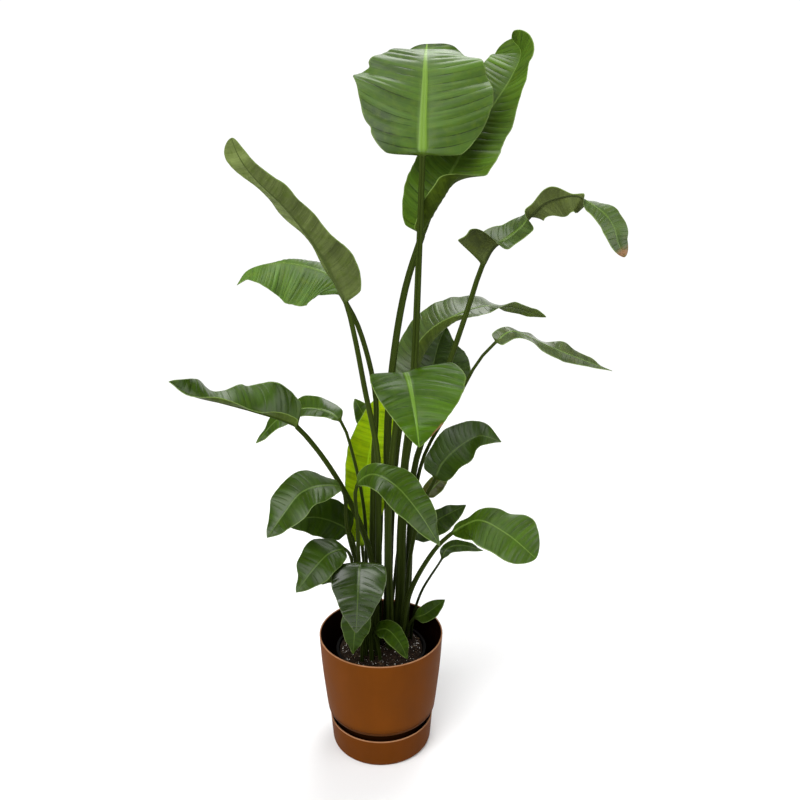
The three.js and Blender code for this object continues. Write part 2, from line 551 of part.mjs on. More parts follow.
function planterGeometry() {
  const p = planter;
  const bottomZ = dish.floorThickness + GAP;
  const bend = p.shoulderZ - p.undersideZ;
  const shoulder = [30, 60].map((degrees) => {
    const angle = radians(degrees);
    const reach = p.shoulderRadius - p.neckRadius - 2;
    return [
      p.shoulderRadius - reach * (1 - Math.cos(angle)),
      p.shoulderZ - bend * Math.sin(angle),
    ];
  });
  const outside = [
    [0, bottomZ],
    [p.neckRadius - 3, bottomZ],
    [p.neckRadius, bottomZ + 3],
    [p.neckRadius, p.undersideZ],
    ...shoulder.reverse(),
    [p.shoulderRadius, p.shoulderZ],
    [115.7, 145],
    [119.4, 185],
    [p.rimRadius, p.height - 1],
    [p.rimRadius - 1, p.height],
  ];
  const inside = [
    [p.rimRadius - p.wall, p.height],
    [119.4 - p.wall, 185],
    [115.7 - p.wall, 145],
    [p.shoulderRadius - p.wall, p.shoulderZ + 2],
    [p.neckRadius - p.wall, p.undersideZ + p.wall],
    [p.neckRadius - p.wall, bottomZ + p.floorThickness],
    [0, bottomZ + p.floorThickness],
  ];
  return turned([...outside, ...inside]);
}

function dishGeometry() {
  const d = dish;
  return turned([
    [0, 0],
    [d.baseRadius - d.edgeRound, 0],
    [d.baseRadius - 1.4, 1.5],
    [d.baseRadius, d.edgeRound],
    [d.rimRadius, d.height - 0.8],
    [d.rimRadius - 0.8, d.height],
    [d.rimRadius - d.wall, d.height],
    [d.baseRadius - d.wall, d.floorThickness + 2],
    [d.baseRadius - d.wall - 2, d.floorThickness],
    [0, d.floorThickness],
  ]);
}

function nurseryPotGeometry() {
  const n = nurseryPot;
  const bottomZ = dish.floorThickness + planter.floorThickness + 2 * GAP;
  const topZ = bottomZ + n.height;
  return turned([
    [0, bottomZ],
    [n.baseRadius, bottomZ],
    [n.bodyRadius, topZ - n.lipDepth],
    [n.rimRadius, topZ - n.lipDepth],
    [n.rimRadius, topZ],
    [n.bodyRadius - n.wall, topZ],
    [n.bodyRadius - n.wall, topZ - n.lipDepth],
    [n.baseRadius - n.wall, bottomZ + 2],
    [0, bottomZ + 2],
  ]);
}

// Soil filling the nursery pot, slightly crowned, with a plain round hole for each stalk.
function soilGeometry() {
  const n = nurseryPot;
  const potFloorZ = dish.floorThickness + planter.floorThickness + 2 * GAP + 2;
  const potTopZ = potFloorZ - 2 + n.height;
  const inner = (z) => {
    const share = (z - potFloorZ) / (potTopZ - n.lipDepth - potFloorZ);
    const radius = n.baseRadius + (n.bodyRadius - n.baseRadius) * Math.min(share, 1);
    return radius - n.wall - GAP;
  };
  const crown = (share) => soil.edgeZ + (soil.crownZ - soil.edgeZ) * Math.cos((share * Math.PI) / 2);
  const edge = inner(soil.edgeZ) - 0.4;
  const surface = [1, 0.66, 0.33, 0].map((share) => [edge * share, crown(share)]);
  const body = turned([
    [0, potFloorZ + GAP],
    [inner(potFloorZ) - 0.6, potFloorZ + GAP],
    [inner(190) - 0.6, 190],
    ...surface,
  ], 32);
  const holes = Object.values(LEAVES).map((leaf) => {
    const hole = new THREE.CylinderGeometry(leaf.girth + 1.2, leaf.girth + 1.2, soil.holeDepth + 20, 8);
    hole.rotateX(Math.PI / 2);
    hole.translate(leaf.foot[0], leaf.foot[1], soil.crownZ - soil.holeDepth / 2 + 10);
    return hole;
  });
  return subtract(body, holes);
}

// ---- solid operations -------------------------------------------------------------

function toManifold(geometry) {
  const source = geometry.index ? geometry.toNonIndexed() : geometry;
  const position = source.getAttribute("position");
  const keys = new Map();
  const vertices = [];
  const triangles = [];
  for (let i = 0; i < position.count; i++) {
    const p = [position.getX(i), position.getY(i), position.getZ(i)];
    const key = p.map((value) => Math.round(value * 1000)).join(",");
    if (!keys.has(key)) {
      keys.set(key, vertices.length / 3);
      vertices.push(...p);
    }
    triangles.push(keys.get(key));
  }
  const kept = [];
  for (let i = 0; i < triangles.length; i += 3) {
    const [a, b, c] = triangles.slice(i, i + 3);
    if (a !== b && b !== c && c !== a) kept.push(a, b, c);
  }
  const mesh = new wasm.Mesh({
    numProp: 3,
    vertProperties: new Float32Array(vertices),
    triVerts: new Uint32Array(kept),
  });
  return new wasm.Manifold(mesh);
}

function subtract(body, tools) {
  let solid = toManifold(body);
  for (const tool of tools) solid = solid.subtract(toManifold(tool));
  const mesh = solid.getMesh();
  const geometry = new THREE.BufferGeometry();
  geometry.setAttribute("position", new THREE.Float32BufferAttribute(mesh.vertProperties, 3));
  geometry.setIndex(Array.from(mesh.triVerts));
  return geometry;
}

// ---- assembly ---------------------------------------------------------------------

const group = new THREE.Group();
group.name = "potted_bird_of_paradise";

function add(name, geometry, color) {
  const shape = geometry.index ? geometry.toNonIndexed() : geometry;
  shape.computeVertexNormals();
  const material = new THREE.MeshStandardMaterial({ color, roughness: 0.6 });
  const mesh = new THREE.Mesh(shape, material);
  mesh.name = name;
  group.add(mesh);
}

add("reservoir_dish", dishGeometry(), 0x6b3a14);
add("planter_pot", planterGeometry(), 0x74401a);
add("nursery_pot", nurseryPotGeometry(), 0x171513);
add("soil", soilGeometry(), 0x2b1c12);
for (const [name, spec] of Object.entries(LEAVES)) {
  const leaf = { ...LEAF_DEFAULTS, ...spec };
  add(name, leafGeometry(leaf), name === "leaf_yellow_upright" ? 0x6e9105 : 0x2f5a22);
}

export default group;
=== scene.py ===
import bpy
import numpy as np
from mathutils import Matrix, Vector


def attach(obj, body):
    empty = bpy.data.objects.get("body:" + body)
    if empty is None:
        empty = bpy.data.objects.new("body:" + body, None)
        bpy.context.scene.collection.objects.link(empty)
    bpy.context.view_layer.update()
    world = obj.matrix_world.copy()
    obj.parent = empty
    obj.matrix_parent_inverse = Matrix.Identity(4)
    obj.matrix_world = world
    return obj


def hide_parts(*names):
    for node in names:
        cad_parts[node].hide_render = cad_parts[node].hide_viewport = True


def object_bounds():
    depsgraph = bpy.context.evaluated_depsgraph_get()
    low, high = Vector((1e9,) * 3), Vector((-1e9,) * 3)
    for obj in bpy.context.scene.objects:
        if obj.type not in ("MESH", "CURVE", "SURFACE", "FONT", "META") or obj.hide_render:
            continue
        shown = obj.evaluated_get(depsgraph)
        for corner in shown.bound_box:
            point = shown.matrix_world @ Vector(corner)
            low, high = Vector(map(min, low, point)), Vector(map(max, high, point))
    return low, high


# A potted bird of paradise: a planter in its reservoir dish, a nursery pot of soil in
# it, and leaves that each grow from the soil on one stalk. Sizes below are millimetres.
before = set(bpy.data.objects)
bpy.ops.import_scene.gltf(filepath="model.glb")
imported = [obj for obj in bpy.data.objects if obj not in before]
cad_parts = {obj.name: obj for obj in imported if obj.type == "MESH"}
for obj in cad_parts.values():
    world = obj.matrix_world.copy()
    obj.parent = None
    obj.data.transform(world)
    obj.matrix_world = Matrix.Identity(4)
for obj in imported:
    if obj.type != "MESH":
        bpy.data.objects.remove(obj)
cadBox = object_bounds()
mm = 0.001
print("frame loaded:", len(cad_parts), "nodes")


def unit(v):
    # each vector divided by its length
    return v / np.maximum(np.linalg.norm(v, axis=-1, keepdims=True), 1e-9)


def smoothStep(low, high, x):
    # 0 below low, 1 above high, t^2 (3 - 2t) between
    t = np.clip((x - low) / (high - low), 0, 1)
    return t * t * (3 - 2 * t)


def eased(knots, u):
    # smooth value between evenly spaced knots: a (1 - s) + b s with s = t^2 (3 - 2t)
    knots = np.asarray(knots, float)
    if len(knots) == 1:
        return np.repeat(knots, len(u), axis=0)
    place = np.clip(u, 0, 1) * (len(knots) - 1)
    i = np.minimum(place.astype(int), len(knots) - 2)
    t = place - i
    s = (t * t * (3 - 2 * t)).reshape((-1,) + (1,) * (knots.ndim - 1))
    return knots[i] * (1 - s) + knots[i + 1] * s


def volumeOf(points, quads):
    # sum of a . (b x c) / 6 over the two triangles of each quad
    a, b, c, d = (points[quads[:, k]] for k in range(4))
    return (np.einsum("ij,ij->i", a, np.cross(b, c)) + np.einsum("ij,ij->i", a, np.cross(c, d))).sum() / 6


def meshPiece(name, points, quads, triangles=None, smooth=True):
    # points in millimetres; faces are turned to point outwards if the volume is negative
    triangles = np.zeros((0, 3), int) if triangles is None else triangles
    if len(quads) and volumeOf(points, quads) < 0:
        quads = quads[:, ::-1]
        triangles = triangles[:, ::-1]
    mesh = bpy.data.meshes.new(name)
    mesh.from_pydata((points * mm).tolist(), [], quads.tolist() + triangles.tolist())
    mesh.polygons.foreach_set("use_smooth", np.full(len(mesh.polygons), smooth))
    mesh.validate()
    mesh.update()
    piece = bpy.data.objects.new(name, mesh)
    bpy.context.scene.collection.objects.link(piece)
    return piece


def addMask(piece, name, values):
    # one number per point, which the material reads by its name
    layer = piece.data.attributes.new(name, "FLOAT", "POINT")
    layer.data.foreach_set("value", np.asarray(values, np.float32))


def addMap(piece, name, places):
    # a UV map from one place per point
    layer = piece.data.uv_layers.new(name=name)
    corner = np.zeros(len(piece.data.loops), int)
    piece.data.loops.foreach_get("vertex_index", corner)
    layer.data.foreach_set("uv", places[corner].astype(np.float32).ravel())


def tubeFaces(rows, columns):
    # quads of rows rings of columns points, and a fan to the point added after them at each end
    ring = np.arange(columns)
    after = (ring + 1) % columns
    base = (np.arange(rows - 1) * columns)[:, None]
    quads = np.stack([base + ring, base + after, base + columns + after, base + columns + ring], -1)
    first = rows * columns
    start = np.stack([np.full(columns, first), after, ring], -1)
    top = (rows - 1) * columns
    end = np.stack([np.full(columns, first + 1), top + ring, top + after], -1)
    return quads.reshape(-1, 4), np.vstack([start, end])


def addNode(tree, kind, inputs=None, **settings):
    # one shader node: sockets among the inputs are linked, other values are set
    made = tree.nodes.new("ShaderNode" + kind)
    for key, value in settings.items():
        setattr(made, key, value)
    for key, value in (inputs or {}).items():
        if isinstance(value, bpy.types.NodeSocket):
            tree.links.new(value, made.inputs[key])
        else:
            made.inputs[key].default_value = value
    return made


def mixColour(tree, share, a, b, blend="MIX"):
    # a (1 - share) + b share; a colour is a socket or three numbers
    made = addNode(tree, "Mix", data_type="RGBA", blend_type=blend)
    for socket, value in ((0, share), (6, a), (7, b)):
        if isinstance(value, bpy.types.NodeSocket):
            tree.links.new(value, made.inputs[socket])
        elif socket == 0:
            made.inputs[0].default_value = value
        else:
            made.inputs[socket].default_value = (*value, 1)
    return made.outputs[2]


def maths(tree, operation, a, b=0.0):
    # one operation on two values, each a socket or a number
    return addNode(tree, "Math", {0: a, 1: b}, operation=operation).outputs[0]


def product(tree, first, *others):
    # all the values multiplied
    for value in others:
        first = maths(tree, "MULTIPLY", first, value)
    return first


def total(tree, first, *others):
    # all the values added
    for value in others:
        first = maths(tree, "ADD", first, value)
    return first


def spread(tree, value, low, high, toLow=0.0, toHigh=1.0):
    # a straight line from toLow at low to toHigh at high, level beyond them
    made = addNode(tree, "MapRange", {"Value": value, "From Min": low, "From Max": high,
                                      "To Min": toLow, "To Max": toHigh})
    return made.outputs["Result"]


def fromNoise(tree, noise, low=0.0, high=1.0):
    # most noise lies between 0.3 and 0.7: this spreads it from low to high
    return spread(tree, noise, 0.3, 0.7, low, high)


def shaded(tree, colour, shade):
    # the colour times one value
    grey = addNode(tree, "CombineColor", {0: shade, 1: shade, 2: shade}).outputs[0]
    return mixColour(tree, 1.0, colour, grey, "MULTIPLY")


def newMaterial(name):
    # a material with one Principled shader
    material = bpy.data.materials.new(name)
    material.use_nodes = True
    tree = material.node_tree
    tree.nodes.clear()
    shader = addNode(tree, "BsdfPrincipled")
    addNode(tree, "OutputMaterial", {"Surface": shader.outputs[0]})
    return material, tree, shader


def setBump(tree, shader, height, strength, distance):
    # the surface looks raised by height times distance, in metres
    bump = addNode(tree, "Bump", {"Height": height, "Strength": strength, "Distance": distance})
    tree.links.new(bump.outputs[0], shader.inputs["Normal"])


def objectNoise(tree, scale, detail=3.0, roughness=0.55, stretch=None):
    # noise at the object's own coordinates, in metres, with each axis multiplied by stretch
    place = addNode(tree, "TexCoord").outputs["Object"]
    if stretch:
        place = addNode(tree, "VectorMath", {0: place, 1: stretch}, operation="MULTIPLY").outputs[0]
    made = addNode(tree, "TexNoise", {"Vector": place, "Scale": scale, "Detail": detail,
                                      "Roughness": roughness})
    return made.outputs["Fac"]


# pots: profiles turned about the vertical axis
# corners: radius, height, how far back the bend at that corner starts
# for the material, in metres: rimZ, the rim's height; shaded: the heights between which painted shade
# under the shoulder darkens the colour downwards to plastic["darkest"]
planter = {
    "segments": 256, "slot": "pot_plastic", "rimZ": 0.241, "roughness": 0.55,
    "corners": [[0, 3.4, 0], [87, 3.4, 2], [90, 8, 4], [90, 66, 3], [97, 70, 5], [107.4, 75.5, 8],
                [109.8, 92, 10], [115.7, 145, 20], [119.4, 185, 20], [122.5, 241, 0.9], [120, 241, 0.9],
                [116.9, 185, 20], [113.2, 145, 20], [106.5, 84, 8], [88, 68, 3], [87.5, 6.4, 2], [0, 6.4, 0]],
    "colour": (0.102, 0.0275, 0.0012), "rimHighlightColour": (0.34, 0.17, 0.085),
    "insideShadeColour": (0.006, 0.0012, 0.0003), "shaded": [0.064, 0.094],
}
dish = {
    "segments": 256, "slot": "pot_plastic", "rimZ": 0.0606, "roughness": 0.55,
    "corners": [[0, 0, 0], [95.5, 0, 3.5], [99.5, 5.5, 4], [104, 60.6, 1.0], [101.4, 60.6, 1.0],
                [97.3, 5, 2], [94.5, 3, 1.5], [0, 3, 0]],
    "colour": (0.086, 0.0225, 0.001), "rimHighlightColour": (0.34, 0.17, 0.085),
    "insideShadeColour": (0.012, 0.003, 0.0006),
}
nurseryPot = {
    "segments": 160, "slot": "nursery_plastic", "rimZ": 0.2068, "roughness": 0.5,
    "corners": [[0, 6.8, 0], [70, 6.8, 1.5], [86, 199, 1.5], [90, 200.8, 1], [90, 206.8, 0.8],
                [84.8, 206.8, 0.8], [84.8, 200.8, 1], [68.8, 8.8, 1.5], [0, 8.8, 0]],
    "colour": (0.0025, 0.0023, 0.002), "rimHighlightColour": (0.004, 0.0037, 0.0034),
    "insideShadeColour": (0.0025, 0.0022, 0.002),
}
plastic = {"cloudScale": 14, "streakScale": 30, "grainScale": 1500, "grainDepth": 0.0003,
           "specular": 0.04, "darkest": 0.12}


def bentProfile(corners):
    # each corner becomes a bend (1 - t)^2 a + 2 t (1 - t) corner + t^2 b
    corners = np.array(corners, float)
    t = np.linspace(0, 1, 7)[:, None]
    rows = [corners[:1, :2]]
    for before, corner, after in zip(corners[:-2], corners[1:-1], corners[2:]):
        a = corner[:2] + unit(before[:2] - corner[:2]) * corner[2]
        b = corner[:2] + unit(after[:2] - corner[:2]) * corner[2]
        rows.append((1 - t) ** 2 * a + 2 * t * (1 - t) * corner[:2] + t ** 2 * b)
    rows.append(corners[-1:, :2])
    return np.vstack(rows)


def turnedPiece(name, profile, segments):
    # points (r cos a, r sin a, z); the first and last profile points are on the axis
    a = np.linspace(0, 2 * np.pi, segments, endpoint=False)
    r, z = profile[1:-1, 0][:, None], profile[1:-1, 1][:, None]
    rings = np.stack([r * np.cos(a), r * np.sin(a), z + 0 * a], -1)
    ends = np.array([[0, 0, profile[0, 1]], [0, 0, profile[-1, 1]]])
    quads, fans = tubeFaces(len(r), segments)
    return meshPiece(name, np.vstack([rings.reshape(-1, 3), ends]), quads, fans)


def plasticMaterial(name, pot):
    # moulded plastic: fine grain, faint cloudiness, a painted highlight along the rim, painted shade inside,
    # and painted shade under the shoulder where the pot lists it
    material, tree, shader = newMaterial(name)
    place = addNode(tree, "TexCoord").outputs["Object"]
    axes = addNode(tree, "SeparateXYZ", {0: place})
    height = axes.outputs["Z"]
    flat = addNode(tree, "CombineXYZ", {"X": axes.outputs["X"], "Y": axes.outputs["Y"]})
    cloud = objectNoise(tree, plastic["cloudScale"], 4)
    streaks = objectNoise(tree, plastic["streakScale"], 3, stretch=(1, 1, 0.12))
    grain = objectNoise(tree, plastic["grainScale"], 2)
    shade = product(tree, fromNoise(tree, cloud, 0.93, 1.06), fromNoise(tree, streaks, 0.95, 1.05),
                    fromNoise(tree, grain, 0.96, 1.04))
    colour = shaded(tree, pot["colour"], shade)
    # inside: painted shade where the surface faces the axis, from the rim down
    facing = addNode(tree, "NewGeometry").outputs["True Normal"]
    outward = addNode(tree, "VectorMath", {0: facing, 1: flat.outputs[0]}, operation="DOT_PRODUCT")
    inside = product(tree, spread(tree, outward.outputs["Value"], 0.0, -0.02),
                     spread(tree, height, pot["rimZ"], pot["rimZ"] - 0.004))
    colour = mixColour(tree, inside, colour, pot["insideShadeColour"])
    # painted shade under the planter's shoulder, darker towards the bottom of the band
    if "shaded" in pot:
        colour = shaded(tree, colour, spread(tree, height, *pot["shaded"], plastic["darkest"], 1.0))
    # a painted highlight along the top of the rim, patchy with the cloud noise
    edge = product(tree, spread(tree, height, pot["rimZ"] - 0.0022, pot["rimZ"] - 0.0006),
                   spread(tree, cloud, 0.25, 0.6, 0.55, 0.95))
    colour = mixColour(tree, edge, colour, pot["rimHighlightColour"])
    tree.links.new(colour, shader.inputs["Base Color"])
    roughness = fromNoise(tree, cloud, pot["roughness"] - 0.05, pot["roughness"] + 0.06)
    tree.links.new(roughness, shader.inputs["Roughness"])
    setBump(tree, shader, grain, 0.25, plastic["grainDepth"])
    shader.inputs["Specular IOR Level"].default_value = plastic["specular"]
    return material


for name, pot in (("planter_pot", planter), ("reservoir_dish", dish), ("nursery_pot", nurseryPot)):
    piece = turnedPiece(name + "_moulded", bentProfile(pot["corners"]), pot["segments"])
    piece.data.materials.append(plasticMaterial(name + "_plastic", pot))
    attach(piece, "root")
    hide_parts(name)
print("pots turned")


# soil: a crumbly crowned disc; lattices: pitch, height and number of points of each noise
# skirt: radius and height of the two rings that close it below
soil = {
    "crownZ": 209, "edgeZ": 202.5, "edgeRadius": 82.6, "rings": 84, "segments": 420, "seed": 7,
    "skirt": [[79.5, 150.0], [80.5, 152.0]],
    "lattices": [[13, 1.7, 64], [5.5, 1.5, 64], [2.4, 0.9, 128]],
    "dark": (0.0045, 0.0022, 0.001), "light": (0.024, 0.0125, 0.0055), "patchScale": 140,
}
# what lies on it; sunk: height of the middle over the soil, as a share of the size
soilBits = {
    "soil_clods": {
        "count": 900, "sizes": (0.7, 2.6), "stretch": (1.25, 1, 0.8), "seed": 11, "sunk": 0.2,
        "lying": False, "dark": (0.008, 0.004, 0.002), "light": (0.045, 0.026, 0.014),
    },
    "perlite_grains": {
        "count": 420, "sizes": (0.3, 1.25), "stretch": (1.1, 1, 0.9), "seed": 12, "sunk": 0.45,
        "lying": False, "dark": (0.55, 0.53, 0.48), "light": (0.85, 0.83, 0.78),
    },
    "bark_splinters": {
        "count": 110, "sizes": (0.5, 1.1), "stretch": (6, 0.8, 0.6), "seed": 13, "sunk": 0.5,
        "lying": True, "dark": (0.05, 0.028, 0.013), "light": (0.20, 0.13, 0.07),
    },
}
soilRandom = np.random.default_rng(soil["seed"])
soilLattices = [(pitch, rise, soilRandom.random((count, count))) for pitch, rise, count in soil["lattices"]]


def latticeNoise(x, y, pitch, lattice):
    # random values on a square lattice, eased between its points
    count = len(lattice)
    px, py = x / pitch + count / 2, y / pitch + count / 2
    i, j = np.floor(px).astype(int), np.floor(py).astype(int)
    fx, fy = smoothStep(0, 1, px - i), smoothStep(0, 1, py - j)
    a, b = lattice[i % count, j % count], lattice[(i + 1) % count, j % count]
    c, d = lattice[i % count, (j + 1) % count], lattice[(i + 1) % count, (j + 1) % count]
    return (a * (1 - fx) + b * fx) * (1 - fy) + (c * (1 - fx) + d * fx) * fy


def soilHeight(x, y):
    # crown (cos of the share of the radius) plus ridged noise of three sizes
    share = np.minimum(np.hypot(x, y) / soil["edgeRadius"], 1)
    height = soil["edgeZ"] + (soil["crownZ"] - soil["edgeZ"]) * np.cos(share * np.pi / 2)
    for pitch, rise, lattice in soilLattices:
        height = height + rise * (1 - 2 * np.abs(latticeNoise(x, y, pitch, lattice) - 0.5)) - rise * 0.5
    return height


def soilPiece():
    # rings (r cos a, r sin a, height) from the skirt up to the edge and in to the crown
    a = np.linspace(0, 2 * np.pi, soil["segments"], endpoint=False)[None, :]
    r = np.linspace(1.0, soil["edgeRadius"], soil["rings"])[::-1, None]
    x, y = r * np.cos(a), r * np.sin(a)
    surface = np.stack([x, y, soilHeight(x, y)], -1)
    low = np.array(soil["skirt"])[:, :, None]
    skirt = np.stack([low[:, 0] * np.cos(a), low[:, 0] * np.sin(a), low[:, 1] + 0 * a], -1)
    rings = np.concatenate([skirt, surface])
    ends = np.array([[0, 0, soil["skirt"][0][1]], [0, 0, float(soilHeight(np.array(0.0), np.array(0.0)))]])
    quads, fans = tubeFaces(len(rings), soil["segments"])
    return meshPiece("soil_surface", np.vstack([rings.reshape(-1, 3), ends]), quads, fans)


def lump():
    # the twelve corners and twenty faces of an icosahedron, radius 1
    g = (1 + 5 ** 0.5) / 2
    corners = unit(np.array([[-1, g, 0], [1, g, 0], [-1, -g, 0], [1, -g, 0], [0, -1, g], [0, 1, g],
                             [0, -1, -g], [0, 1, -g], [g, 0, -1], [g, 0, 1], [-g, 0, -1], [-g, 0, 1]], float))
    faces = np.array([[0, 11, 5], [0, 5, 1], [0, 1, 7], [0, 7, 10], [0, 10, 11], [1, 5, 9], [5, 11, 4],
                      [11, 10, 2], [10, 7, 6], [7, 1, 8], [3, 9, 4], [3, 4, 2], [3, 2, 6], [3, 6, 8],
                      [3, 8, 9], [4, 9, 5], [2, 4, 11], [6, 2, 10], [8, 6, 7], [9, 8, 1]])
    return corners, faces


def turns(random, count):
    # random rotation matrices from unit quaternions
    w, x, y, z = unit(random.normal(size=(count, 4))).T
    return np.stack([1 - 2 * (y * y + z * z), 2 * (x * y - w * z), 2 * (x * z + w * y),
                     2 * (x * y + w * z), 1 - 2 * (x * x + z * z), 2 * (y * z - w * x),
                     2 * (x * z - w * y), 2 * (y * z + w * x), 1 - 2 * (x * x + y * y)], -1).reshape(-1, 3, 3)


def lyingTurns(random, count):
    # rotations that lay the long axis nearly flat: yaw all round, a small tilt
    yaw = 2 * np.pi * random.random(count)
    tilt = 0.5 * (random.random(count) - 0.3)
    ways = np.stack([np.cos(yaw) * np.cos(tilt), np.sin(yaw) * np.cos(tilt), np.sin(tilt)], -1)
    sides = np.stack([-np.sin(yaw), np.cos(yaw), 0 * yaw], -1)
    return np.stack([ways, sides, np.cross(ways, sides)], -1)


def scattered(name, bits):
    # copies of one lump, each stretched, roughened, turned and set on the soil
    random = np.random.default_rng(bits["seed"])
    count, (small, large) = bits["count"], bits["sizes"]
    corners, faces = lump()
    reach = soil["edgeRadius"] - 3
    r, a = reach * np.sqrt(random.random(count)), 2 * np.pi * random.random(count)
    x, y = r * np.cos(a), r * np.sin(a)
    size = small + (large - small) * random.random(count) ** 2.2
    shape = corners[None] * (1 + 0.28 * random.normal(size=(count, 12, 1)).clip(-1.5, 1.5))
    shape = shape * np.array(bits["stretch"]) * size[:, None, None]
    matrices = lyingTurns(random, count) if bits["lying"] else turns(random, count)
    shape = np.einsum("nij,nkj->nki", matrices, shape)
    centre = np.stack([x, y, soilHeight(x, y) + bits["sunk"] * size], -1)
    points = (shape + centre[:, None]).reshape(-1, 3)
    triangles = (faces[None] + 12 * np.arange(count)[:, None, None]).reshape(-1, 3)
    return meshPiece(name, points, np.zeros((0, 4), int), triangles, smooth=False)


def crumbMaterial(name, colours, scale, roughness=0.95, bumpDepth=0.002):
    # matte crumbs: dark and light by patches and by grains five times finer
    material, tree, shader = newMaterial(name)
    patches = objectNoise(tree, scale, 5, 0.65)
    grains = objectNoise(tree, scale * 5, 3, 0.6)
    share = total(tree, product(tree, patches, 0.6), product(tree, grains, 0.4))
    colour = mixColour(tree, spread(tree, share, 0.35, 0.65), colours["dark"], colours["light"])
    tree.links.new(colour, shader.inputs["Base Color"])
    shader.inputs["Roughness"].default_value = roughness
    shader.inputs["Specular IOR Level"].default_value = 0.2
    setBump(tree, shader, grains, 0.8, bumpDepth)
    return material


soilTop = soilPiece()
soilTop.data.materials.append(crumbMaterial("damp_soil", soil, soil["patchScale"]))
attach(soilTop, "root")
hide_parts("soil")
for name, bits in soilBits.items():
    piece = scattered(name, bits)
    piece.data.materials.append(crumbMaterial(name + "_finish", bits, 300, roughness=0.85, bumpDepth=0.0006))
    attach(piece, "root")
print("soil filled")


